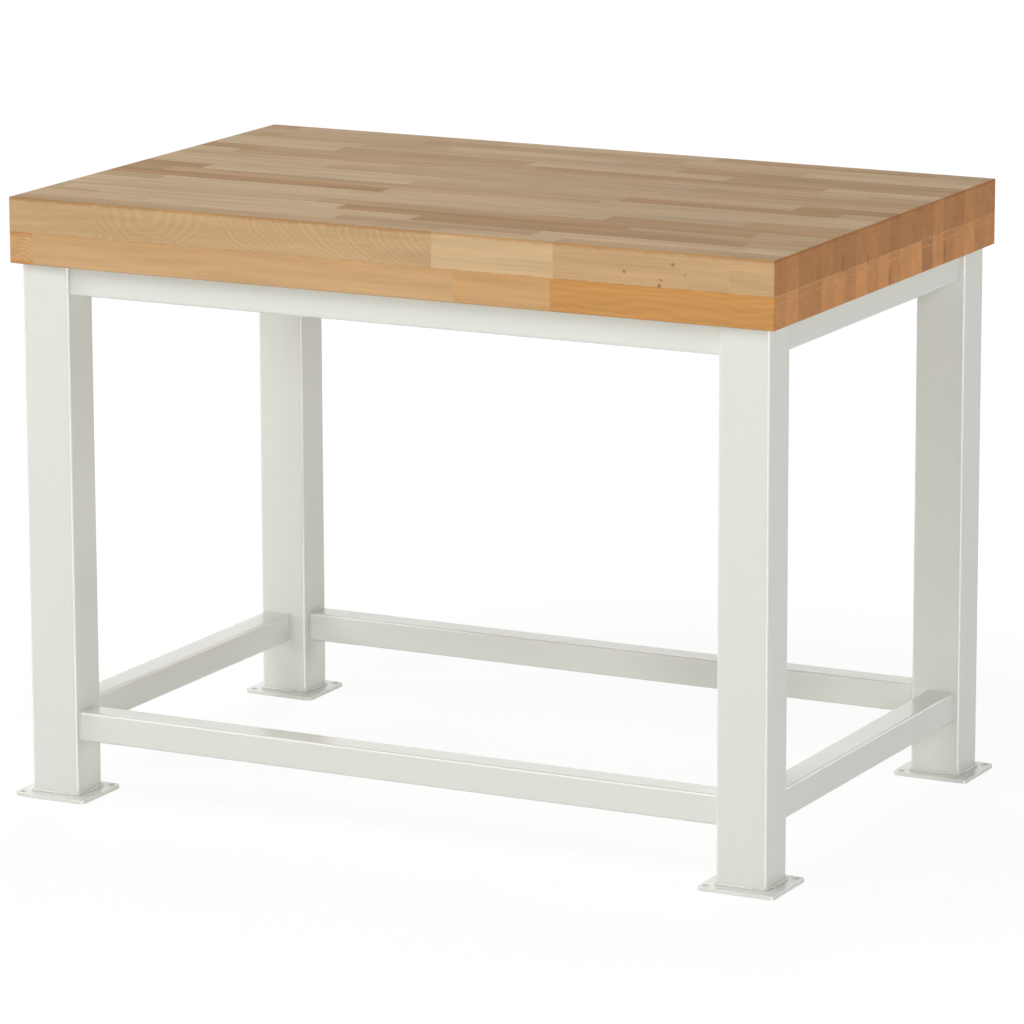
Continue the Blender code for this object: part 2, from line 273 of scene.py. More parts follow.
class WorktopSettings(bpy.types.PropertyGroup):
    """Sizes and colours of the worktop's staves."""

    stave_width: length_property("Stave width", "Width of one glued stave", 0.040)
    stave_length: length_property("Stave length", "Usual length of a stave between two end joints", 0.420)
    joint_grid: length_property("Joint grid", "Spacing of the places where staves may end", 0.005)
    arris: length_property("Arris", "Radius of the worktop's broken edges", 0.0015)
    ring_width: length_property("Ring width", "Spacing of the annual rings that show", 0.006)
    pith_reach: length_property("Pith reach", "How far a stave may lie from the middle of its stem", 0.120)
    glue_band: length_property("Glue band", "Height between the two pale lines on the end grain", 0.011)
    branch: place_property(
        "Branch", "Where a branch reaches the front and fans out the grain", (-0.385, -0.4, 0.868),
    )
    seed: IntProperty(name="Seed", description="Picks the staves' lengths, tones and grain", default=11)
    pale: colour_property("Pale stave", "Lightest stave of the upper layer", "#CDB28D")
    dark: colour_property("Dark stave", "Darkest stave of the upper layer", "#A77E4E")
    warm: colour_property("Warm stave", "Most orange stave of the lower layer", "#C28C4E")
    end_grain: colour_property("End grain", "Sawn ends of the staves", "#B88253")
    cross_end_grain: colour_property("Cross stave's end", "Sawn end of the stave laid crosswise", "#B68F65")
    glue: colour_property("Glue line", "Thin lines between the layers on the end grain", "#C79C72")
    knot: colour_property("Pin knot", "Small knots in the front", "#74492A")


class FrameSettings(bpy.types.PropertyGroup):
    """Sizes and colours of the welded frame and what is fastened to it."""

    leg_radius: length_property("Leg corner", "Outer corner radius of the legs' tube", 0.005)
    leg_wall: length_property("Leg wall", "Wall of the legs' tube", 0.003)
    rail_radius: length_property("Rail corner", "Outer corner radius of the rails' tube", 0.004)
    rail_wall: length_property("Rail wall", "Wall of the rails' tube", 0.0025)
    access_hole: length_property("Access hole", "Diameter of the holes under the screws", 0.020)
    plate_radius: length_property("Plate corner", "Corner radius of the floor plates", 0.008)
    plate_edge: length_property("Plate edge", "Rounding of the floor plates' edges under the coat", 0.0008)
    anchor_hole: length_property("Anchor hole", "Diameter of the anchor holes", 0.010)
    anchor_edge: length_property("Anchor distance", "From a hole's middle to the plate's edges", 0.011)
    foot_weld: length_property("Foot weld", "Leg length of the weld on a floor plate", 0.005)
    foot_weld_open: length_property("Open corner", "Length left open on both sides of a leg's corner", 0.018)
    rail_weld: length_property("Rail weld", "Leg length of the weld at a rail's end", 0.003)
    ripple: length_property("Weld ripple", "Spacing of a weld's ripples", 0.0045)
    coat: colour_property("Powder coat", "Light grey coat of the whole frame", "#DBDDD6")
    zinc: colour_property("Zinc", "Plating of screws and washers", "#C6CACC")


class StudioSettings(bpy.types.PropertyGroup):
    """Camera, lamps and background."""

    camera_place: place_property("Camera place", "Where the camera stands", (3.8528, -7.4788, 2.2854))
    camera_yaw: number_property("Camera yaw", "Turn to the left of the bench front", 0.47483, subtype="ANGLE")
    camera_pitch: number_property("Camera pitch", "Tilt below the horizon", 0.21793, subtype="ANGLE")
    camera_roll: number_property("Camera roll", "Turn about the view's axis", 0.00313, subtype="ANGLE")
    focal_pixels: number_property("Focal length", "Focal length in pixels of the square image", 5684.6)
    high_softbox: number_property("High softbox", "Power of the lamp above the front in watts", 126.0)
    front_softbox: number_property("Front softbox", "Power of the lamp at the front in watts", 108.0)
    left_softbox: number_property("Left softbox", "Power of the left lamp in watts", 162.0)
    right_softbox: number_property("Right softbox", "Power of the right lamp in watts", 71.0)
    back_softbox: number_property("Back softbox", "Power of the lamp at the back in watts", 105.0)
    lit_backdrop: number_property("Lit backdrop", "Power of the lit backdrop in watts", 17.0)
    edge_light: number_property("Edge light", "Brightness that upright edges mirror", 4.5)
    level_light: number_property("Level light", "Brightness that level edges mirror", 3.5)
    rail_light: number_property("Rail light", "Brightness that the side rails' edges mirror", 3.0)
    ambient: number_property("Ambient", "Even light from all round", 0.20)
    shadow: number_property("Shadow", "Share of the bench's shadow that the paper shows", 0.12)
    paper: colour_property("Paper", "Floor and backdrop", "#F4F4F3")


def feed(tree, node, inputs):
    """Set a node's inputs, by name or number from a dictionary, or in order from a list.

    Each takes a value, a socket, a node for its first output in use, or a list of these.
    """
    for key, given in inputs.items() if isinstance(inputs, dict) else enumerate(inputs):
        for value in given if isinstance(given, list) else [given]:
            if isinstance(value, bpy.types.Node):
                value = next(socket for socket in value.outputs if socket.enabled)
            if isinstance(value, bpy.types.NodeSocket):
                tree.links.new(value, node.inputs[key])
            else:
                node.inputs[key].default_value = value


def add_node(tree, kind, inputs=None, operation=None, **settings):
    """Add a node with its settings, its operation and its inputs; a lone input goes to the first socket."""
    node = tree.nodes.new(kind)
    for name, value in settings.items():
        setattr(node, name, value)
    if operation:
        node.operation = operation
    if inputs is not None:
        feed(tree, node, inputs if isinstance(inputs, (dict, list)) else [inputs])
    return node


def start_tree(name, **sockets):
    """Start a Geometry Nodes tree with inputs named by kind; give it, its inputs and its way to add nodes."""
    tree = bpy.data.node_groups.new(name, "GeometryNodeTree")
    for kind, labels in sockets.items():
        for label in labels:
            tree.interface.new_socket(label, in_out="INPUT", socket_type="NodeSocket" + kind)
    tree.interface.new_socket("Geometry", in_out="OUTPUT", socket_type="NodeSocketGeometry")
    return tree, tree.nodes.new("NodeGroupInput").outputs, partial(add_node, tree)


def end_tree(tree, shape, finish):
    """Make a tree's result one plain mesh with its finish."""
    whole = add_node(tree, "GeometryNodeRealizeInstances", {"Geometry": shape})
    finished = add_node(tree, "GeometryNodeSetMaterial", {"Geometry": whole, "Material": finish})
    add_node(tree, "NodeGroupOutput", {"Geometry": finished})
    return tree


def start_material(name):
    """Start a material; give it, its way to add nodes and its way to set the surface shader's inputs."""
    material = bpy.data.materials.new(name)
    material.use_nodes = True
    tree = material.node_tree
    return material, partial(add_node, tree), partial(feed, tree, tree.nodes["Principled BSDF"])


def shared(name, make, *arguments):
    """Give a material or tree by name, made once."""
    return bpy.data.materials.get(name) or bpy.data.node_groups.get(name) or make(*arguments)


def settle(context, piece):
    """Put what a piece's modifiers make in place of its mesh, and remove them."""
    graph = context.evaluated_depsgraph_get()
    evaluated = piece.evaluated_get(graph)
    made = bpy.data.meshes.new_from_object(evaluated, preserve_all_data_layers=True, depsgraph=graph)
    if not made.polygons:
        raise RuntimeError(f"{piece.name} came out empty")
    piece.modifiers.clear()
    old = piece.data
    piece.data = made
    bpy.data.meshes.remove(old)
    made.name = piece.name


def build_piece(context, name, tree, sizes, stands_for, points=None, bevel=None):
    """Run a tree with its sizes, round its edges, and let the result stand for the CAD nodes."""
    piece = bpy.data.objects.new(name, points or bpy.data.meshes.new(name))
    context.scene.collection.objects.link(piece)
    modifier = piece.modifiers.new(tree.name, "NODES")
    modifier.node_group = tree
    sockets = {item.name: item.identifier for item in tree.interface.items_tree if item.in_out == "INPUT"}
    for label, value in sizes.items():
        modifier[sockets[label]] = value
    if bevel:
        rounding = piece.modifiers.new("rounding", "BEVEL")
        for key, value in bevel.items():
            setattr(rounding, key, value)
    settle(context, piece)
    shape = bmesh.new()
    shape.from_mesh(piece.data)
    bmesh.ops.remove_doubles(shape, verts=shape.verts, dist=MERGE_DISTANCE)
    bmesh.ops.recalc_face_normals(shape, faces=shape.faces)
    shape.to_mesh(piece.data)
    shape.free()
    piece.data.shade_smooth()
    piece.data.set_sharp_from_angle(angle=SHARP_ANGLE)
    normals = piece.modifiers.new("flat_faces_first", "WEIGHTED_NORMAL")
    normals.keep_sharp = True
    settle(context, piece)
    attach(piece, BODY)
    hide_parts(*stands_for)


def centre_and_size(node):
    """Give the middle and the size of a CAD node's box."""
    low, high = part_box(node)
    return (low + high) / 2.0, high - low


def point_mesh(name, places, turns):
    """Make a mesh of loose points, each with the turn of what is set on it."""
    mesh = bpy.data.meshes.new(name)
    mesh.from_pydata([tuple(place) for place in places], [], [])
    stored = mesh.attributes.new("turn", "FLOAT_VECTOR", "POINT")
    stored.data.foreach_set("vector", [angle for turn in turns for angle in turn])
    return mesh


def wave(add, value, spacing):
    """Give a sine wave of a value that repeats at a spacing."""
    turns = add(MATH, [value, spacing], "DIVIDE")
    turns = add(MATH, [turns, FULL_TURN], "MULTIPLY")
    return add(MATH, turns, "SINE")


def sway(add, noise, reach):
    """Give a push to all sides from a noise's colour."""
    push = add(VECTOR, [noise["Color"], HALVES], "SUBTRACT")
    return add(VECTOR, {0: push, "Scale": reach}, "SCALE")


def face_ways(add, normal):
    """Give how far a face looks along each axis, and the most of these, which is 1 on flat faces."""
    ways = add(SPLIT, add(VECTOR, normal, "ABSOLUTE")).outputs
    most = add(MATH, [ways["X"], ways["Y"]], "MAXIMUM")
    return ways, add(MATH, [most, ways["Z"]], "MAXIMUM")


def within(add, share, *limits):
    """Keep a share only as far as all limits let it."""
    for limit in limits:
        share = add(MATH, [share, limit], "MULTIPLY")
    return share


def soak(add, colour, share, tint):
    """Tint a colour where oil soaked in."""
    oiled = add(VECTOR, [colour, tint], "MULTIPLY")
    return add(MIX, {FACTOR: share, COLOUR_A: colour, COLOUR_B: oiled}, data_type="RGBA")


def beech(name, settings, end_grain, turn, ring_depth, lengthwise):
    """Oiled beech, glued from staves and sanded.

    It gives the eye low-contrast rings, short ray flecks, a tone of its own for each stave, and ends
    that drank more oil and turned darker and redder, under a dull sheen.
    """
    material, add, finish = start_material(name)
    lower_low, lower_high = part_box("worktop_lower_layer")
    upper_low, upper_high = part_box("worktop_upper_layer")
    glue_line = lower_high.z
    place = add(COORDINATES).outputs["Object"]
    height = add(SPLIT, place).outputs["Z"]
    below = add(MATH, [upper_high.z, height], "SUBTRACT")
    under = add(MATH, [glue_line, height], "SUBTRACT")
    lower = add(MATH, [height, glue_line], "LESS_THAN")
    upper = add(MATH, [1.0, lower], "SUBTRACT")
    tone, warmth, figure = (
        add(ATTRIBUTE, attribute_name="stave_" + label).outputs["Fac"]
        for label in ("tone", "warmth", "figure")
    )
    shift = add(ATTRIBUTE, attribute_name="stave_shift").outputs["Vector"]
    laid = add("ShaderNodeMapping", {"Vector": place, "Rotation": (0.0, 0.0, turn)})
    own = add(VECTOR, [laid, shift], "ADD")
    noises = {}
    for label, (stretch, detail) in GRAIN.items():
        stretched = add(VECTOR, [own, stretch], "MULTIPLY")
        noises[label] = add(NOISE, {"Vector": stretched, "Scale": 1.0, "Detail": detail}).outputs

    # Which faces are upright, and which are sawn ends
    normal = add("ShaderNodeNewGeometry").outputs["Normal"]
    ways, flat = face_ways(add, normal)
    upright = add(MATH, [ways["Z"], 0.3], "LESS_THAN")
    axis = Matrix.Rotation(-turn, 3, "Z") @ Vector((1.0, 0.0, 0.0))
    facing = add(VECTOR, [normal, axis], "DOT_PRODUCT").outputs["Value"]
    facing = add(MATH, facing, "ABSOLUTE")
    sawn = add(RANGE, [facing, 0.6, 0.9])
    long_face = add(MATH, [upright, sawn], "SUBTRACT")

    # Growth bends the rings slowly along the stem, and a figured stave bends them within a few centimetres
    slow = sway(add, noises["slow"], GROWTH_SWAY)
    curl = sway(add, noises["curl"], add(MATH, [figure, FIGURE_SWAY], "MULTIPLY"))
    bent = add(VECTOR, [own, slow], "ADD")
    bent = add(VECTOR, [bent, curl], "ADD")
    across = add(VECTOR, [bent, (0.0, 1.0, 1.0)], "MULTIPLY")
    radius = add(VECTOR, across, "LENGTH").outputs["Value"]
    spread = add(MATH, [figure, settings.ring_width, settings.ring_width], "MULTIPLY_ADD")
    ring = wave(add, radius, spread)

    # A branch that grew towards the front parts the grain like a feather on both sides of it
    branch = add(VECTOR, [place, settings.branch], "SUBTRACT")
    stray = add(VECTOR, {0: curl, "Scale": 0.8}, "SCALE")
    branch = add(VECTOR, [branch, stray], "ADD")
    branch = add(SPLIT, branch).outputs
    side = add(MATH, [branch["X"], 2.0], "POWER")
    side = add(MATH, [side, 0.0001], "ADD")
    side = add(MATH, [side, 0.5], "POWER")
    rise = add(MATH, [branch["Z"], 0.0], "MAXIMUM")
    rise = add(MATH, [rise, 0.5], "POWER")
    barb = add(MATH, [rise, BARB_RISE, side], "MULTIPLY_ADD")
    fan = wave(add, barb, BARB_SPACING)
    fan = add(MATH, [fan, 0.7], "MULTIPLY")
    shown = within(add, figure, upright)
    near = within(add, add(RANGE, [side, 0.07, 0.13, 1.0, 0.0]), shown)
    ring = add(MIX, {FACTOR: near, FLOAT_A: ring, FLOAT_B: fan}, data_type="FLOAT")

    # Right of the branch the grain hangs from the upper edge in hooks, in bundles of fine lines
    sag = add(MATH, [below, 2.0], "POWER")
    hang = add(MATH, [sag, HOOK_SAG, branch["X"]], "MULTIPLY_ADD")
    bundle = wave(add, hang, HOOK_BUNDLE)
    bundle = add(MATH, [bundle, 0.35, 0.65], "MULTIPLY_ADD")
    hook = within(add, wave(add, hang, HOOK_SPACING), bundle)
    hooked = within(add, add(RANGE, [branch["X"], 0.09, 0.14]), shown, upper)
    ring = add(MIX, {FACTOR: hooked, FLOAT_A: ring, FLOAT_B: hook}, data_type="FLOAT")
    drawn = add(MATH, [near, hooked], "MAXIMUM")
    drawn = add(MATH, [drawn, within(add, figure, lower)], "MAXIMUM")

    # Pale crests are narrower than the ground between them
    ring = add(MATH, [ring, 0.5, 0.5], "MULTIPLY_ADD")
    ring = add(MATH, [ring, 2.0], "POWER")
    ring = add(MATH, [ring, 2.0, -0.75], "MULTIPLY_ADD")

    # The light and dark of the grain, about 1; upright faces show less of it than the top
    fibre = noises["fibre"]["Fac"]
    fleck = add(RANGE, [noises["fleck"]["Fac"], 0.66, 0.74])
    calm = add(MATH, [upright, -0.5, 1.0], "MULTIPLY_ADD")
    depth = add(MATH, [drawn, FIGURE_DEPTH, ring_depth], "MULTIPLY_ADD")
    shade = add(MATH, [ring, depth, 1.0], "MULTIPLY_ADD")
    for noise, strength in ((fibre, FIBRE_DEPTH), (noises["cloud"]["Fac"], CLOUD_DEPTH)):
        streak = within(add, add(MATH, [noise, 0.5], "SUBTRACT"), calm)
        shade = add(MATH, [streak, strength, shade], "MULTIPLY_ADD")
    shade = add(MATH, [fleck, FLECK_DEPTH, shade], "MULTIPLY_ADD")

    # Colour of the stave and of its sawn ends, which differ more in the lower layer
    stave = (*settings.pale, 1.0)
    for share, other in ((tone, settings.dark), (warmth, settings.warm)):
        stave = add(MIX, {FACTOR: share, COLOUR_A: stave, COLOUR_B: (*other, 1.0)}, data_type="RGBA")
    contrast = add(MATH, [lower, -0.14, -0.20], "MULTIPLY_ADD")
    middle = add(MATH, [tone, 0.5], "SUBTRACT")
    ground = add(MATH, [lower, 0.24, 0.90], "MULTIPLY_ADD")
    end_tone = add(MATH, [middle, contrast, ground], "MULTIPLY_ADD")
    end_colour = add(VECTOR, {0: end_grain, "Scale": end_tone}, "SCALE")
    colour = add(MIX, {FACTOR: sawn, COLOUR_A: stave, COLOUR_B: end_colour}, data_type="RGBA")
    colour = add(VECTOR, {0: colour, "Scale": shade}, "SCALE")

    # The broken edges drank more oil, and so did a ragged band of a few millimetres under the upper edge
    soaked = add(RANGE, [flat, 0.985, 0.90])
    colour = soak(add, colour, soaked, EDGE_OIL)
    ragged = add(NOISE, {"Vector": place, "Scale": 45.0, "Detail": 3.0}).outputs["Fac"]
    reach = add(MATH, [ragged, 0.014, -0.0015], "MULTIPLY_ADD")
    band = within(add, add(RANGE, [below, 0.0015, reach, 0.95, 0.0]), upright)
    colour = soak(add, colour, band, BAND_OIL)

    # The lower layer is warmest under the glue line, where a fine dark seam shows on the long faces
    band = within(add, add(RANGE, [under, 0.004, 0.026, 0.4, 0.0]), lower, long_face)
    colour = soak(add, colour, band, GLUE_WARMTH)
    seam = add(MATH, under, "ABSOLUTE")
    worn = add(RANGE, [ragged, 0.42, 0.58])
    seam = within(add, add(RANGE, [seam, 0.0003, 0.0016, 0.8, 0.0]), worn, long_face)
    colour = soak(add, colour, seam, SEAM_TINT)

    if lengthwise:
        # Two thin pale lines on the sawn ends, at the glue line and a little below it
        reach = settings.glue_band / 2.0
        band = height
        for middle in (glue_line - reach, reach):
            band = add(MATH, [band, middle], "SUBTRACT")
            band = add(MATH, band, "ABSOLUTE")
        broken = add(NOISE, {"Vector": place, "Scale": 22.0, "Detail": 2.0}).outputs["Fac"]
        broken = add(RANGE, [broken, 0.35, 0.65, 0.1])
        band = within(add, add(RANGE, [band, 0.0002, 0.0014, 1.0, 0.0]), broken, sawn)
        colour = add(MIX, {FACTOR: band, COLOUR_A: colour, COLOUR_B: (*settings.glue, 1.0)}, data_type="RGBA")

        # Knots and pith marks reach a few millimetres in, with ragged outlines
        marks = [((along, upper_low.y, up), size, KNOT_LOOK) for along, up, size in PIN_KNOTS]
        marks += [((upper_high.x, along, up), size, PITH_LOOK) for along, up, size in PITH_MARKS]
        fray = add(NOISE, {"Vector": place, "Scale": 420.0, "Detail": 2.0}).outputs
        frayed = add(VECTOR, [place, sway(add, fray, FRAYING)], "ADD")
        knot = (*settings.knot, 1.0)
        for centre, size, (squash, darkness) in marks:
            off = add(VECTOR, [frayed, centre], "SUBTRACT")
            off = add(VECTOR, [off, (1.0, 1.0, squash)], "MULTIPLY")
            off = add(VECTOR, off, "LENGTH").outputs["Value"]
            dark = add(RANGE, [off, 0.2 * size, size, darkness, 0.0])
            colour = add(MIX, {FACTOR: dark, COLOUR_A: colour, COLOUR_B: knot}, data_type="RGBA")
    else:
        # The end of the crosswise stave is oranger along its upper and lower edge
        half = (glue_line - lower_low.z) / 2.0
        edge = add(MATH, [under, half], "SUBTRACT")
        edge = add(MATH, edge, "ABSOLUTE")
        edge = within(add, add(RANGE, [edge, half - 0.008, half - 0.002]), sawn)
        colour = soak(add, colour, edge, CROSS_EDGE_OIL)

    relief = add(MATH, [ring, 0.10, fibre], "MULTIPLY_ADD")
    finish({
        "Base Color": colour, "IOR": 1.45, "Specular IOR Level": 0.10,
        "Roughness": add(RANGE, [fibre, 0.0, 1.0, 0.48, 0.60]),
        "Normal": add("ShaderNodeBump", {"Height": relief, "Strength": 0.2, "Distance": 0.0003}),
    })
    return material


def powder_coat(settings):
    """Polyester powder coat, baked on steel.

    It gives the eye one even light grey skin with a clear gloss, which varies slightly over a few
    centimetres. Rounded corners mirror more than flats, so that each shows a thin bright line.
    """
    material, add, finish = start_material(COAT)
    space = add(COORDINATES).outputs
    peel = add(NOISE, {"Vector": space["Object"], "Scale": 60.0, "Detail": 0.0}).outputs["Fac"]
    flat = face_ways(add, space["Normal"])[1]
    finish({
        "Base Color": (*settings.coat, 1.0), "IOR": 1.5,
        "Roughness": add(RANGE, [peel, 0.0, 1.0, 0.13, 0.17]),
        "Specular IOR Level": add(RANGE, [flat, 0.90, 0.99, 1.0, 0.3]),
    })
    return material


def zinc_plating(settings):
    """Zinc-plated steel, blue passivated.

    It gives the eye a bright bluish metal with cloudy patches a few millimetres wide.
    """
    material, add, finish = start_material("zinc_plated_steel")
    place = add(COORDINATES).outputs["Object"]
    cloud = add(NOISE, {"Vector": place, "Scale": 260.0, "Detail": 2.0}).outputs["Fac"]
    tint = add(RANGE, [cloud, 0.0, 1.0, 0.86, 1.05])
    finish({
        "Base Color": add(VECTOR, {0: settings.zinc, "Scale": tint}, "SCALE"), "Metallic": 1.0,
        "Roughness": add(RANGE, [cloud, 0.0, 1.0, 0.26, 0.42]),
    })
    return material


def stave_layer_tree():
    """Make a closed block of staves, with each stave's tone, warmth, figure and grain kept on its faces."""
    tree, given, add = start_tree(
        "beech_stave_layer",
        Vector=(
            "Size", "Centre", "Top Size", "Joints", "Front Tones", "Front Warmth", "End Tones", "Pith From",
            "Pith To",
        ),
        Float=(
            "Free Height", "Stave Width", "Stave Length", "Joint Grid", "Warmth", "Figured Stave", "Figure",
            "End Row", "Pith By Row",
        ),
        Int=("Seed",), Material=("Finish",),
    )
    size = add(SPLIT, given["Size"]).outputs
    columns = add(MATH, [size["X"], given["Joint Grid"]], "DIVIDE")
    columns = add(MATH, columns, "ROUND")
    rows = add(MATH, [size["Y"], given["Stave Width"]], "DIVIDE")
    rows = add(MATH, rows, "ROUND")
    block = add("GeometryNodeMeshCube", {
        "Size": given["Size"], "Vertices X": add(MATH, [columns, 1.0], "ADD"),
        "Vertices Y": add(MATH, [rows, 1.0], "ADD"), "Vertices Z": 2,
    })
    block = add(MOVE, {"Geometry": block, "Translation": given["Centre"]})

    # Which row a face is in, and how far along it
    position = add("GeometryNodeInputPosition")
    half = add(VECTOR, {0: given["Size"], "Scale": 0.5}, "SCALE")
    low = add(VECTOR, [given["Centre"], half], "SUBTRACT")
    local = add(VECTOR, [position, low], "SUBTRACT")
    local = add(SPLIT, local).outputs
    low = add(SPLIT, low).outputs
    row = add(MATH, [local["Y"], given["Stave Width"]], "DIVIDE")
    row = add(MATH, row, "FLOOR")
    last = add(MATH, [rows, 1.0], "SUBTRACT")
    row = add(MATH, [row, last], "MINIMUM")
    row = add(MATH, [row, 0.0], "MAXIMUM")
    margin = add(MATH, [given["Joint Grid"], 0.5], "MULTIPLY")
    end = add(MATH, [size["X"], margin], "SUBTRACT")
    along = add(MATH, [local["X"], margin], "MAXIMUM")
    along = add(MATH, [along, end], "MINIMUM")

    # Staggered end joints, with a start and a usual length of its own for each row
    start_seed, pace_seed, tone_seed, warmth_seed, figure_seed, pith_seed = (
        add(MATH, [given["Seed"], float(step)], "ADD") for step in range(6)
    )
    start = add(RANDOM, {"ID": row, "Seed": start_seed}, data_type="FLOAT")
    pace = {LEAST: LENGTH_DRAW[0], MOST: LENGTH_DRAW[1], "ID": row, "Seed": pace_seed}
    pace = add(RANDOM, pace, data_type="FLOAT")
    pace = add(MATH, [pace, given["Stave Length"]], "MULTIPLY")
    indices = []
    for spot in (along, end):
        index = add(MATH, [spot, pace], "DIVIDE")
        index = add(MATH, [index, start], "ADD")
        indices.append(add(MATH, index, "FLOOR"))
    inner = add(MATH, [row, ROW_NUMBERS, indices[0]], "MULTIPLY_ADD")

    # The front row's joints are where the photograph's front shows them
    along_x = add(MATH, [along, low["X"]], "ADD")
    past = [add(MATH, [along_x, joint], "GREATER_THAN") for joint in add(SPLIT, given["Joints"]).outputs]
    passed = add(MATH, [past[0], past[1]], "ADD")
    passed = add(MATH, [passed, past[2]], "ADD")
    outer = add(MATH, [passed, FRONT_NUMBERS], "ADD")
    is_front = add("FunctionNodeCompare", [row, 0.5], "LESS_THAN", data_type="FLOAT")
    stave = add(SWITCH, [is_front, inner, outer], input_type="FLOAT")

    # Tone and warmth: random inside, given for the front row and for three rows at the right end
    kept = {}
    for label, seed, front in (("tone", tone_seed, "Front Tones"), ("warmth", warmth_seed, "Front Warmth")):
        chance = {LEAST: TONE_DRAW[0], MOST: TONE_DRAW[1], "ID": stave, "Seed": seed}
        chance = add(RANDOM, chance, data_type="FLOAT")
        if label == "warmth":
            chance = add(MATH, [chance, given["Warmth"]], "MULTIPLY")
        levels = add(SPLIT, given[front]).outputs
        shown = levels[0]
        for axis in (1, 2):
            step = add(MATH, [levels[axis], levels[axis - 1]], "SUBTRACT")
            shown = add(MATH, [step, past[axis - 1], shown], "MULTIPLY_ADD")
        kept[label] = add(SWITCH, [is_front, chance, shown], input_type="FLOAT")
    at_end = add(MATH, [*indices, SAME_NUMBER], "COMPARE")
    past_row = add(MATH, [row, given["End Row"]], "SUBTRACT")
    for step, level in enumerate(add(SPLIT, given["End Tones"]).outputs):
        here = add(MATH, [past_row, float(step), SAME_NUMBER], "COMPARE")
        here = add(MATH, [here, at_end], "MULTIPLY")
        kept["tone"] = add(MIX, {FACTOR: here, FLOAT_A: kept["tone"], FLOAT_B: level}, data_type="FLOAT")

    # Figure: faint inside, strong on one stave of the front row
    faint = {LEAST: 0.0, MOST: FAINT_FIGURE, "ID": stave, "Seed": figure_seed}
    faint = add(RANDOM, faint, data_type="FLOAT")
    figured = add(MATH, [passed, given["Figured Stave"], SAME_NUMBER], "COMPARE")
    figured = add(MATH, [figured, given["Figure"]], "MULTIPLY")
    kept["figure"] = add(SWITCH, [is_front, faint, figured], input_type="FLOAT")

    # Where the middle of a stave's stem lies
    pith = {LEAST_VECTOR: given["Pith From"], MOST_VECTOR: given["Pith To"], "ID": stave, "Seed": pith_seed}
    pith = add(RANDOM, pith, data_type="FLOAT_VECTOR")
    row_y = add(MATH, [row, 0.5], "ADD")
    row_y = add(MATH, [row_y, given["Stave Width"], low["Y"]], "MULTIPLY_ADD")
    row_y = add(MATH, [row_y, given["Pith By Row"]], "MULTIPLY")
    pith = add(VECTOR, [pith, add(COMBINE, {"Y": row_y})], "ADD")
    kept["shift"] = add(VECTOR, {0: pith, "Scale": -1.0}, "SCALE")
    for label, value in kept.items():
        kind = "FLOAT_VECTOR" if label == "shift" else "FLOAT"
        stored = {"Geometry": block, "Name": "stave_" + label, "Value": value}
        block = add(STORE, stored, data_type=kind, domain="FACE")

    # Only edges where two of the worktop's outer faces meet are rounded, not those between its parts
    world = add(SPLIT, position).outputs
    top_half = add(VECTOR, {0: given["Top Size"], "Scale": 0.5}, "SCALE")
    top_half = add(SPLIT, top_half).outputs
    edges = add(MATH, [world["Z"], given["Free Height"], EDGE_TOLERANCE], "COMPARE")
    for axis in ("X", "Y"):
        reach = add(MATH, world[axis], "ABSOLUTE")
        reach = add(MATH, [reach, top_half[axis], EDGE_TOLERANCE], "COMPARE")
        edges = add(MATH, [edges, reach], "ADD")
    edges = add(MATH, [edges, 1.5], "GREATER_THAN")
    stored = {"Geometry": block, "Name": "bevel_weight_edge", "Value": edges}
    block = add(STORE, stored, data_type="FLOAT", domain="EDGE")
    return end_tree(tree, block, given["Finish"])


def raised_outline_tree():
    """Make a group that fills closed outlines and raises them to one closed solid."""
    tree, given, add = start_tree("raised_outline", Geometry=("Outline",), Float=("Height",))
    face = add("GeometryNodeFillCurve", {"Curve": given["Outline"]}, mode="NGONS")
    rise = add(COMBINE, {"Z": given["Height"]})
    raised = add("GeometryNodeExtrudeMesh", {"Mesh": face, "Offset": rise, "Individual": False}, mode="FACES")
    under = add("GeometryNodeFlipFaces", {"Mesh": face})
    whole = add(JOIN, {"Geometry": [raised, under]})
    whole = add("GeometryNodeMergeByDistance", {"Geometry": whole, "Distance": MERGE_DISTANCE})
    add("NodeGroupOutput", {"Geometry": whole})
    return tree


def raise_outlines(add, outlines, height):
    """Raise closed outlines to one solid, in which those inside another are holes."""
    joined = add(JOIN, {"Geometry": outlines})
    raised = shared("raised_outline", raised_outline_tree)
    return add("GeometryNodeGroup", {"Outline": joined, "Height": height}, node_tree=raised)


def rounded_rectangle(add, width, depth, radius):
    """Draw a rectangle with round corners."""
    outline = add(RECTANGLE, {"Width": width, "Height": depth})
    return add(FILLET, {"Curve": outline, "Count": CORNER_STEPS, "Radius": radius}, mode="POLY")


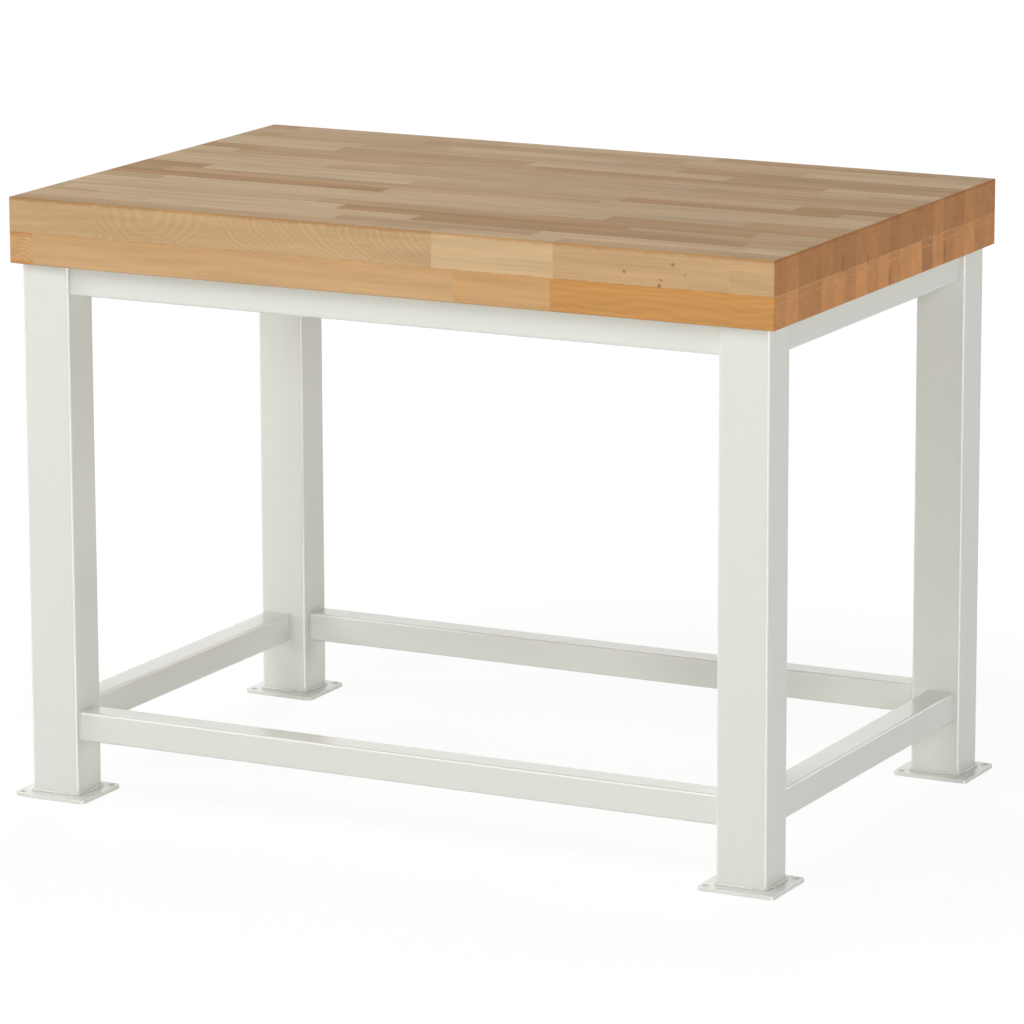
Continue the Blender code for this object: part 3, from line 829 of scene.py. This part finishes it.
def tube_tree():
    """Make a rectangular tube from its start along its length, with access holes in one side if asked."""
    tree, given, add = start_tree(
        "rectangular_tube",
        Float=(
            "Width", "Depth", "Corner Radius", "Wall", "Length", "Hole Radius", "First Hole", "Hole Spacing",
        ),
        Vector=("Start", "Turn"), Int=("Hole Count",), Material=("Finish",),
    )
    walls = add(MATH, [given["Wall"], 2.0], "MULTIPLY")
    inner = [add(MATH, [given[label], walls], "SUBTRACT") for label in ("Width", "Depth")]
    inner.append(add(MATH, [given["Corner Radius"], given["Wall"]], "SUBTRACT"))
    outer = [given[label] for label in ("Width", "Depth", "Corner Radius")]
    outlines = [rounded_rectangle(add, *sizes) for sizes in (outer, inner)]
    tube = raise_outlines(add, outlines, given["Length"])

    # Holes through the wall on the side along the tube's own X
    side = add(MATH, [given["Width"], 0.5], "MULTIPLY")
    first = add(COMBINE, {"X": side, "Z": given["First Hole"]})
    step = add(COMBINE, {"Z": given["Hole Spacing"]})
    points = {"Count": given["Hole Count"], "Start Location": first, "Offset": step}
    points = add("GeometryNodeMeshLine", points)
    bore = add(MATH, [given["Wall"], 4.0], "MULTIPLY")
    drill = add(CYLINDER, {"Vertices": ROUND_SIDES, "Radius": given["Hole Radius"], "Depth": bore})
    drill = add(MOVE, {"Geometry": drill, "Rotation": (0.0, QUARTER_TURN, 0.0)})
    drills = add(INSTANCE, {"Points": points, "Instance": drill})
    drills = add("GeometryNodeRealizeInstances", {"Geometry": drills})
    drilled = {"Mesh 1": tube, "Mesh 2": drills}
    drilled = add("GeometryNodeMeshBoolean", drilled, "DIFFERENCE", solver="EXACT")
    has_holes = {WHOLE_A: given["Hole Count"], WHOLE_B: 0}
    has_holes = add("FunctionNodeCompare", has_holes, "GREATER_THAN", data_type="INT")
    tube = add(SWITCH, [has_holes, tube, drilled], input_type="GEOMETRY")
    turn = add("FunctionNodeEulerToRotation", given["Turn"])
    tube = add(MOVE, {"Geometry": tube, "Translation": given["Start"], "Rotation": turn})
    return end_tree(tree, tube, given["Finish"])


def floor_plate_tree():
    """Make a floor plate with two anchor holes, at its front left and its back right corner."""
    tree, given, add = start_tree(
        "floor_plate", Float=("Width", "Depth", "Thickness", "Corner Radius", "Hole Radius"),
        Vector=("Hole Place", "Start"), Material=("Finish",),
    )
    outlines = [rounded_rectangle(add, given["Width"], given["Depth"], given["Corner Radius"])]
    hole = add(CIRCLE, {"Resolution": ROUND_SIDES, "Radius": given["Hole Radius"]})
    for way in (-1.0, 1.0):
        place = add(VECTOR, {0: given["Hole Place"], "Scale": way}, "SCALE")
        outlines.append(add(MOVE, {"Geometry": hole, "Translation": place}))
    plate = raise_outlines(add, outlines, given["Thickness"])
    plate = add(MOVE, {"Geometry": plate, "Translation": given["Start"]})
    return end_tree(tree, plate, given["Finish"])


def weld_tree():
    """Make a rippled fillet weld round a rectangle on each point, with ends that thin out where it stops."""
    tree, given, add = start_tree(
        "fillet_weld", Geometry=("Points",), Bool=("Closed",),
        Float=(
            "Width", "Depth", "Corner Radius", "From", "To", "Bead", "Sink", "Ripple", "Ripple Height",
            "Thin End",
        ),
        Material=("Finish",),
    )
    path = rounded_rectangle(add, given["Width"], given["Depth"], given["Corner Radius"])
    part = {"Curve": path, TRIM_FROM: given["From"], TRIM_TO: given["To"]}
    part = add("GeometryNodeTrimCurve", part, mode="LENGTH")
    path = add(SWITCH, [given["Closed"], part, path], input_type="GEOMETRY")
    spacing = add(MATH, [given["Ripple"], 0.25], "MULTIPLY")
    path = add("GeometryNodeResampleCurve", {"Curve": path, "Length": spacing}, mode="LENGTH")
    path = add("GeometryNodeSetCurveNormal", {"Curve": path}, mode="Z_UP")

    # Ripples along the bead, and the thinning of its ends
    spot = add("GeometryNodeSplineParameter").outputs["Length"]
    whole = add("GeometryNodeSplineLength").outputs["Length"]
    swell = wave(add, spot, given["Ripple"])
    swell = add(MATH, [swell, given["Ripple Height"], 1.0], "MULTIPLY_ADD")
    rest = add(MATH, [whole, spot], "SUBTRACT")
    rest = add(MATH, [rest, spot], "MINIMUM")
    thin = add(RANGE, [rest, 0.0, given["Thin End"], THINNED_END])
    full = add(SWITCH, [given["Closed"], thin, 1.0], input_type="FLOAT")
    scale = add(MATH, [swell, full], "MULTIPLY")

    # Section of the bead: out along X, up along -Y, and sunk a little into what it joins
    under = add(MATH, [given["Sink"], -1.0], "MULTIPLY")
    shares = (-1.0, WELD_CROWN, -WELD_CROWN, WELD_SOFTNESS)
    rise, crown, crown_up, soft = (add(MATH, [given["Bead"], share], "MULTIPLY") for share in shares)
    corners = ((under, given["Sink"]), (given["Bead"], given["Sink"]), (crown, crown_up), (under, rise))
    section = {}
    for number, (out, down) in enumerate(corners, 1):
        section[f"Point {number}"] = add(COMBINE, {"X": out, "Y": down})
    section = add(RECTANGLE, section, mode="POINTS")
    section = add(FILLET, {"Curve": section, "Count": 3, "Radius": soft, "Limit Radius": True}, mode="POLY")
    bead = add(SWEEP, {"Curve": path, "Profile Curve": section, "Scale": scale, "Fill Caps": True})
    turn = add("GeometryNodeInputNamedAttribute", {"Name": "turn"}, data_type="FLOAT_VECTOR")
    turn = add("FunctionNodeEulerToRotation", turn)
    beads = add(INSTANCE, {"Points": given["Points"], "Instance": bead, "Rotation": turn})
    return end_tree(tree, beads, given["Finish"])


def screw_tree():
    """Make a hexagon head wood screw on each point, which lies under its head and from which it points up."""
    tree, given, add = start_tree(
        "hexagon_wood_screw", Geometry=("Points",), Float=(*SCREW_SIZES, "Length"), Material=("Finish",),
    )
    tall = given["Head Height"]
    core = add(MATH, [given["Diameter"], CORE_SHARE], "MULTIPLY")
    outer = add(MATH, [given["Diameter"], 0.5], "MULTIPLY")
    straight = add(MATH, [given["Length"], given["Tip Length"]], "SUBTRACT")
    bare = add(MATH, [straight, given["Thread Length"]], "SUBTRACT")

    # The head is a hexagon, chamfered below by a cone
    corner = add(MATH, [given["Head Width"], 1.0 / math.sqrt(3.0)], "MULTIPLY")
    face = add(MATH, [given["Head Width"], CHAMFER_FACE], "MULTIPLY")
    wide = add(MATH, [tall, CHAMFER_SLOPE, face], "MULTIPLY_ADD")
    cone = {"Vertices": ROUND_SIDES, "Radius Top": wide, "Radius Bottom": face, "Depth": tall}
    tip = {
        "Vertices": ROUND_SIDES, "Radius Top": POINT_RADIUS, "Radius Bottom": core,
        "Depth": given["Tip Length"],
    }
    rounds = add(MATH, [given["Thread Length"], given["Pitch"]], "DIVIDE")
    helix = add("GeometryNodeCurveSpiral", {
        "Resolution": 20, "Rotations": rounds, "Start Radius": core, "End Radius": core,
        "Height": given["Thread Length"],
    })
    helix = add("GeometryNodeSetCurveNormal", {"Curve": helix}, mode="Z_UP")
    rib = add(MATH, [outer, core], "SUBTRACT")
    rib = add(CIRCLE, {"Resolution": 4, "Radius": rib})
    shapes = (
        (add(CYLINDER, {"Vertices": 6, "Radius": corner, "Depth": tall}), tall, -0.5),
        (add("GeometryNodeMeshCone", cone), tall, -1.0),
        (add(CYLINDER, {"Vertices": ROUND_SIDES, "Radius": outer, "Depth": bare}), bare, 0.5),
        (add(CYLINDER, {"Vertices": ROUND_SIDES, "Radius": core, "Depth": straight}), straight, 0.5),
        (add("GeometryNodeMeshCone", tip), straight, 1.0),
        (add(SWEEP, {"Curve": helix, "Profile Curve": rib, "Fill Caps": True}), bare, 1.0),
    )
    moved = []
    for shape, length, share in shapes:
        up = add(COMBINE, {"Z": add(MATH, [length, share], "MULTIPLY")})
        moved.append(add(MOVE, {"Geometry": shape, "Translation": up}))
    head = add("GeometryNodeMeshBoolean", {"Mesh 2": moved[:2]}, "INTERSECT", solver="EXACT")
    screw = add(JOIN, {"Geometry": [head, *moved[2:]]})
    screws = add(INSTANCE, {"Points": given["Points"], "Instance": screw})
    return end_tree(tree, screws, given["Finish"])


def washer_tree():
    """Make a flat washer on each point, from the point up."""
    tree, given, add = start_tree(
        "flat_washer", Geometry=("Points",), Float=("Diameter", "Bore", "Thickness"), Material=("Finish",),
    )
    outlines = []
    for label in ("Diameter", "Bore"):
        radius = add(MATH, [given[label], 0.5], "MULTIPLY")
        outlines.append(add(CIRCLE, {"Resolution": ROUND_SIDES, "Radius": radius}))
    washer = raise_outlines(add, outlines, given["Thickness"])
    washers = add(INSTANCE, {"Points": given["Points"], "Instance": washer})
    return end_tree(tree, washers, given["Finish"])


class WORKBENCH_OT_worktop(bpy.types.Operator):
    """Build the worktop's two layers of staves and the stave across its left end"""

    bl_idname = "workbench.build_worktop"
    bl_label = "Build worktop"

    def execute(self, context):
        settings = context.scene.workbench_worktop
        tree = stave_layer_tree()
        along = beech("oiled_beech", settings, settings.end_grain, 0.0, ring_depth=0.022, lengthwise=True)
        across = beech(
            "oiled_beech_crosswise", settings, settings.cross_end_grain, -QUARTER_TURN, ring_depth=0.065,
            lengthwise=False,
        )
        upper_low, upper_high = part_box("worktop_upper_layer")
        lower_low, lower_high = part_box("worktop_lower_layer")
        stave_low, stave_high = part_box("worktop_end_stave")
        joint = lower_low.x
        glue_line = lower_high.z
        common = {
            "Top Size": upper_high - upper_low,
            "Stave Width": settings.stave_width,
            "Stave Length": settings.stave_length,
            "Joint Grid": settings.joint_grid,
            "Seed": settings.seed,
            "Pith From": (-PITH_ALONG, -settings.pith_reach, glue_line - settings.pith_reach),
            "Pith To": (PITH_ALONG, settings.pith_reach, glue_line + settings.pith_reach),
            "Pith By Row": 1.0,
            "Finish": along,
        }
        cross_pith = (0.0, CROSS_PITH - joint, stave_low.z - CROSS_PITH)
        layers = {
            "beech_upper_staves": (
                "worktop_upper_layer", Vector((upper_low.x, upper_low.y, glue_line)), upper_high,
                {**UPPER_STAVES, "Free Height": upper_high.z},
            ),
            "beech_lower_staves": (
                "worktop_lower_layer", Vector((joint, lower_low.y, lower_low.z)), lower_high,
                {**LOWER_STAVES, "Free Height": lower_low.z, "Seed": settings.seed + LOWER_SEED},
            ),
            "beech_cross_stave": (
                "worktop_end_stave", stave_low, Vector((joint, stave_high.y, stave_high.z)),
                {
                    **CROSS_STAVE, "Free Height": stave_low.z, "Stave Width": stave_high.y - stave_low.y,
                    "Pith From": cross_pith, "Pith To": cross_pith, "Finish": across,
                },
            ),
        }
        rounding = {"width": settings.arris, "segments": 3, "limit_method": "WEIGHT"}
        for name, (stands_for, low, high, own) in layers.items():
            sizes = {**common, "Size": high - low, "Centre": (low + high) / 2.0, **own}
            build_piece(context, name, tree, sizes, [stands_for], bevel=rounding)
        return {"FINISHED"}


class WORKBENCH_OT_legs(bpy.types.Operator):
    """Build the four legs from rectangular tube"""

    bl_idname = "workbench.build_legs"
    bl_label = "Build legs"

    def execute(self, context):
        settings = context.scene.workbench_frame
        tree = shared("rectangular_tube", tube_tree)
        coat = shared(COAT, powder_coat, settings)
        for corner in CORNERS:
            middle, size = centre_and_size("leg_" + corner)
            sizes = {
                "Width": size.x, "Depth": size.y, "Length": size.z, "Corner Radius": settings.leg_radius,
                "Wall": settings.leg_wall, "Start": middle - Vector((0.0, 0.0, size.z / 2.0)),
                "Turn": (0.0, 0.0, 0.0), "Hole Count": 0, "Finish": coat,
            }
            build_piece(context, "coated_leg_" + corner, tree, sizes, ["leg_" + corner])
        return {"FINISHED"}


class WORKBENCH_OT_rails(bpy.types.Operator):
    """Build the upper and lower rails; the long upper ones have access holes for the screws"""

    bl_idname = "workbench.build_rails"
    bl_label = "Build rails"

    def execute(self, context):
        settings = context.scene.workbench_frame
        tree = shared("rectangular_tube", tube_tree)
        coat = shared(COAT, powder_coat, settings)
        for level in LEVELS:
            for side in SIDES:
                name = f"{level}_rail_{side}"
                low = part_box(name)[0]
                middle, size = centre_and_size(name)
                is_long = side in LONG_SIDES
                screws = []
                if is_long and level == "upper":
                    screws = [centre_and_size(f"top_screw_{side}_{number}")[0].x for number in SCREW_NUMBERS]
                sizes = {
                    "Width": size.z, "Depth": size.y if is_long else size.x,
                    "Length": size.x if is_long else size.y, "Corner Radius": settings.rail_radius,
                    "Wall": settings.rail_wall, "Turn": (0.0, QUARTER_TURN, 0.0 if is_long else QUARTER_TURN),
                    "Start": (low.x, middle.y, middle.z) if is_long else (middle.x, low.y, middle.z),
                    "Hole Radius": settings.access_hole / 2.0, "Hole Count": len(screws),
                    "First Hole": screws[0] - low.x if screws else 0.0,
                    "Hole Spacing": screws[1] - screws[0] if screws else 0.0, "Finish": coat,
                }
                build_piece(context, "coated_" + name, tree, sizes, [name])
        return {"FINISHED"}


class WORKBENCH_OT_floor_plates(bpy.types.Operator):
    """Build the four floor plates with their anchor holes"""

    bl_idname = "workbench.build_floor_plates"
    bl_label = "Build floor plates"

    def execute(self, context):
        settings = context.scene.workbench_frame
        tree = floor_plate_tree()
        coat = shared(COAT, powder_coat, settings)
        rounding = {
            "width": settings.plate_edge, "segments": 3, "limit_method": "ANGLE", "angle_limit": SHARP_ANGLE,
        }
        for corner in CORNERS:
            middle, size = centre_and_size("floor_plate_" + corner)
            sizes = {
                "Width": size.x, "Depth": size.y, "Thickness": size.z, "Corner Radius": settings.plate_radius,
                "Hole Radius": settings.anchor_hole / 2.0,
                "Hole Place": (size.x / 2.0 - settings.anchor_edge, size.y / 2.0 - settings.anchor_edge, 0.0),
                "Start": (middle.x, middle.y, middle.z - size.z / 2.0), "Finish": coat,
            }
            name = "coated_floor_plate_" + corner
            build_piece(context, name, tree, sizes, ["floor_plate_" + corner], bevel=rounding)
        return {"FINISHED"}


class WORKBENCH_OT_welds(bpy.types.Operator):
    """Build the welds at the feet and at the rails' ends"""

    bl_idname = "workbench.build_welds"
    bl_label = "Build welds"

    def execute(self, context):
        settings = context.scene.workbench_frame
        tree = weld_tree()
        coat = shared(COAT, powder_coat, settings)
        common = {"Ripple": settings.ripple, "Sink": WELD_SINK, "Finish": coat}

        # The outline starts at the corner that stays open once it is turned by a quarter
        leg = centre_and_size("leg_front_left")[1]
        arc = QUARTER_TURN * settings.leg_radius
        perimeter = 2.0 * (leg.x + leg.y - 4.0 * settings.leg_radius) + 4.0 * arc
        gap = settings.foot_weld_open - settings.leg_radius
        places = []
        for corner in CORNERS:
            middle = centre_and_size("leg_" + corner)[0]
            places.append((middle.x, middle.y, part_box("floor_plate_" + corner)[1].z))
        points = point_mesh("foot_welds", places, [(0.0, 0.0, -QUARTER_TURN)] * len(places))
        sizes = {
            **common, "Width": leg.y, "Depth": leg.x, "Corner Radius": settings.leg_radius, "Closed": False,
            "From": arc + gap, "To": perimeter - gap, "Bead": settings.foot_weld, "Ripple Height": 0.07,
            "Thin End": 0.004,
        }
        nodes = ["foot_weld_" + corner for corner in CORNERS]
        build_piece(context, "coated_foot_welds", tree, sizes, nodes, points=points)

        # A bead's own Z runs along its rail away from the leg, and its Y runs up
        rail = centre_and_size("lower_rail_front")[1]
        arc = QUARTER_TURN * settings.rail_radius
        flat = 2.0 * settings.rail_radius
        perimeter = 2.0 * (rail.y + rail.z - 2.0 * flat) + 4.0 * arc
        up = Vector((0.0, 0.0, 1.0))
        for level in LEVELS:
            places = []
            turns = []
            for side in SIDES:
                low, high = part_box(f"{level}_rail_{side}")
                axis = 0 if side in LONG_SIDES else 1
                for end, way in ((low, 1.0), (high, -1.0)):
                    place = (low + high) / 2.0
                    place[axis] = end[axis]
                    along = Vector((0.0, 0.0, 0.0))
                    along[axis] = way
                    turns.append(Matrix((up.cross(along), up, along)).transposed().to_euler())
                    places.append(place)
            sizes = {
                **common, "Width": rail.y, "Depth": rail.z, "Corner Radius": settings.rail_radius,
                "Closed": level == "lower", "From": 2.0 * arc + rail.y - flat, "To": perimeter,
                "Bead": settings.rail_weld, "Ripple Height": 0.05, "Thin End": 0.003,
            }
            name = f"coated_{level}_rail_welds"
            build_piece(context, name, tree, sizes, [], points=point_mesh(name, places, turns))
        return {"FINISHED"}


class WORKBENCH_OT_screws(bpy.types.Operator):
    """Build the screws and washers that hold the worktop"""

    bl_idname = "workbench.build_screws"
    bl_label = "Build screws and washers"

    def execute(self, context):
        zinc = zinc_plating(context.scene.workbench_frame)
        washers = ["screw_washer_" + name for name in SCREWS]
        screws = ["top_screw_" + name for name in SCREWS]
        places = []
        for washer in washers:
            low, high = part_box(washer)
            middle = (low + high) / 2.0
            places.append((middle.x, middle.y, low.z))
        turns = [(0.0, 0.0, 0.0)] * len(places)
        size = centre_and_size(washers[0])[1]
        build_piece(
            context, "zinc_washers", washer_tree(),
            {"Diameter": size.x, "Bore": WASHER_BORE, "Thickness": size.z, "Finish": zinc},
            washers, points=point_mesh("zinc_washers", places, turns),
            bevel={"width": WASHER_EDGE, "segments": 2, "limit_method": "ANGLE", "angle_limit": SHARP_ANGLE},
        )
        length = centre_and_size(screws[0])[1].z - SCREW_SIZES["Head Height"]
        build_piece(
            context, "zinc_screws", screw_tree(), {**SCREW_SIZES, "Length": length, "Finish": zinc}, screws,
            points=point_mesh("zinc_screws", places, turns),
        )
        return {"FINISHED"}


def seen_directly(add):
    """Tell rays from the camera, mirrors and glass from the light that falls on things."""
    path = add("ShaderNodeLightPath").outputs
    seen = add(MATH, [path["Is Camera Ray"], path["Is Glossy Ray"]], "MAXIMUM")
    return add(MATH, [seen, path["Is Transmission Ray"]], "MAXIMUM")


def studio_paper(settings):
    """White background paper, white to the camera and to gloss, with a faint share of the bench's shadow."""
    material = bpy.data.materials.new("white_studio_paper")
    material.use_nodes = True
    material.node_tree.nodes.clear()
    add = partial(add_node, material.node_tree)
    matt = add("ShaderNodeBsdfDiffuse", {"Color": (*settings.paper, 1.0)})
    glow = add("ShaderNodeEmission", {"Color": WHITE, "Strength": PAPER_GLOW})
    kept = add(MIX_SHADER, [1.0 - settings.shadow, matt, glow])
    place = add(COORDINATES).outputs["Object"]
    away = add(VECTOR, place, "LENGTH").outputs["Value"]
    away = add(RANGE, [away, *SHADOW_FADE])
    shown = add(MIX_SHADER, [away, kept, glow])
    paper = add(MIX_SHADER, [seen_directly(add), matt, shown])
    add("ShaderNodeOutputMaterial", {"Surface": paper})
    return material


def white_world(settings):
    """Even light all round, white to the camera, with what edges mirror for gloss alone."""
    world = bpy.data.worlds.new("white_studio")
    world.use_nodes = True
    world.node_tree.nodes.clear()
    add = partial(add_node, world.node_tree)

    # Upright edges mirror what is below the horizon, where a light strip stands at the right front
    way = add(COORDINATES).outputs["Generated"]
    ray = add(SPLIT, way).outputs
    ahead = add(MATH, [ray["Y"], -1.0], "MULTIPLY")
    turn = add(MATH, [ray["X"], ahead], "ARCTAN2")
    off = add(MATH, [turn, STRIP_TURN], "SUBTRACT")
    off = add(MATH, off, "ABSOLUTE")
    strip = add(RANGE, [off, *STRIP_FADE, settings.edge_light, 1.0])

    # Level edges mirror a lighter patch high at the left front, the side rails' edges a small one at the back
    patches = []
    for (middle, *fade), dark, light in (
        (LEVEL_PATCH, 1.0, settings.level_light), (RAIL_PATCH, 0.0, settings.rail_light),
    ):
        off = add(VECTOR, [way, middle], "DOT_PRODUCT").outputs["Value"]
        patches.append(add(RANGE, [off, *fade, dark, light]))
    patch = add(MATH, patches, "ADD")
    below = add(MATH, [ray["Z"], 0.0], "LESS_THAN")
    strength = add(MIX, {FACTOR: below, FLOAT_A: patch, FLOAT_B: strip}, data_type="FLOAT")
    even, backdrop, mirrored = (
        add(BACKGROUND, {"Color": WHITE, "Strength": level}) for level in (settings.ambient, 1.0, strength)
    )
    glossy = add("ShaderNodeLightPath").outputs["Is Glossy Ray"]
    backdrop = add(MIX_SHADER, [glossy, backdrop, mirrored])
    both = add(MIX_SHADER, [seen_directly(add), even, backdrop])
    add("ShaderNodeOutputWorld", {"Surface": both})
    return world


class WORKBENCH_OT_studio(bpy.types.Operator):
    """Set up the floor, the background, the lamps and the camera"""

    bl_idname = "workbench.build_studio"
    bl_label = "Build studio"

    def execute(self, context):
        settings = context.scene.workbench_studio
        scene = context.scene
        scene.view_settings.view_transform = "Standard"
        scene.world = white_world(settings)

        mesh = bpy.data.meshes.new("studio_floor")
        level = CAD_BOX[0][2] - PAPER_GAP
        corners = ((-1.0, -1.0), (1.0, -1.0), (1.0, 1.0), (-1.0, 1.0))
        mesh.from_pydata([(x * PAPER_REACH, y * PAPER_REACH, level) for x, y in corners], [], [(0, 1, 2, 3)])
        mesh.materials.append(studio_paper(settings))
        floor = bpy.data.objects.new("studio_floor", mesh)
        scene.collection.objects.link(floor)
        floor.visible_glossy = False

        for name, (turn, lift, width, mirrored) in LAMPS.items():
            lamp = bpy.data.lights.new(name, "AREA")
            lamp.shape = "SQUARE"
            lamp.size = width
            lamp.energy = getattr(settings, name)
            item = bpy.data.objects.new(name, lamp)
            item.visible_camera = False
            item.visible_glossy = mirrored
            scene.collection.objects.link(item)
            turn = math.radians(turn)
            lift = math.radians(lift)
            way = Vector((math.sin(turn) * math.cos(lift), -math.cos(turn) * math.cos(lift), math.sin(lift)))
            item.location = LAMP_TARGET + way * LAMP_DISTANCE
            item.rotation_euler = way.to_track_quat("Z", "Y").to_euler()

        camera = bpy.data.cameras.new("camera")
        camera.sensor_width = 36.0
        camera.lens = settings.focal_pixels / IMAGE_SIZE * camera.sensor_width
        camera.clip_end = 200.0
        item = bpy.data.objects.new("camera", camera)
        scene.collection.objects.link(item)
        yaw = Matrix.Rotation(settings.camera_yaw, 4, "Z")
        tilt = Matrix.Rotation(QUARTER_TURN - settings.camera_pitch, 4, "X")
        roll = Matrix.Rotation(-settings.camera_roll, 4, "Z")
        item.matrix_world = Matrix.Translation(settings.camera_place) @ yaw @ tilt @ roll
        scene.camera = item
        return {"FINISHED"}


STEPS = (
    WORKBENCH_OT_worktop, WORKBENCH_OT_legs, WORKBENCH_OT_rails, WORKBENCH_OT_floor_plates,
    WORKBENCH_OT_welds, WORKBENCH_OT_screws, WORKBENCH_OT_studio,
)
SETTINGS = {
    "workbench_worktop": WorktopSettings,
    "workbench_frame": FrameSettings,
    "workbench_studio": StudioSettings,
}


class WORKBENCH_PT_sidebar(bpy.types.Panel):
    """Settings of the workbench and the steps that build it"""

    bl_label = "Workbench"
    bl_space_type = "VIEW_3D"
    bl_region_type = "UI"
    bl_category = "Workbench"

    def draw(self, context):
        for name, group in SETTINGS.items():
            box = self.layout.box()
            for label in group.__annotations__:
                box.prop(getattr(context.scene, name), label)
        for step in STEPS:
            self.layout.operator(step.bl_idname)


CLASSES = (*SETTINGS.values(), *STEPS, WORKBENCH_PT_sidebar)


def register():
    """Register the classes and give the scene its settings."""
    for item in CLASSES:
        bpy.utils.register_class(item)
    for name, group in SETTINGS.items():
        setattr(bpy.types.Scene, name, PointerProperty(type=group))


def unregister():
    """Take the settings and the classes back."""
    for name in SETTINGS:
        delattr(bpy.types.Scene, name)
    for item in reversed(CLASSES):
        bpy.utils.unregister_class(item)


def main():
    """Build every piece and the studio."""
    register()
    bpy.ops.workbench.build_worktop()
    bpy.ops.workbench.build_legs()
    bpy.ops.workbench.build_rails()
    bpy.ops.workbench.build_floor_plates()
    bpy.ops.workbench.build_welds()
    bpy.ops.workbench.build_screws()
    bpy.ops.workbench.build_studio()


if __name__ == "__main__":
    main()
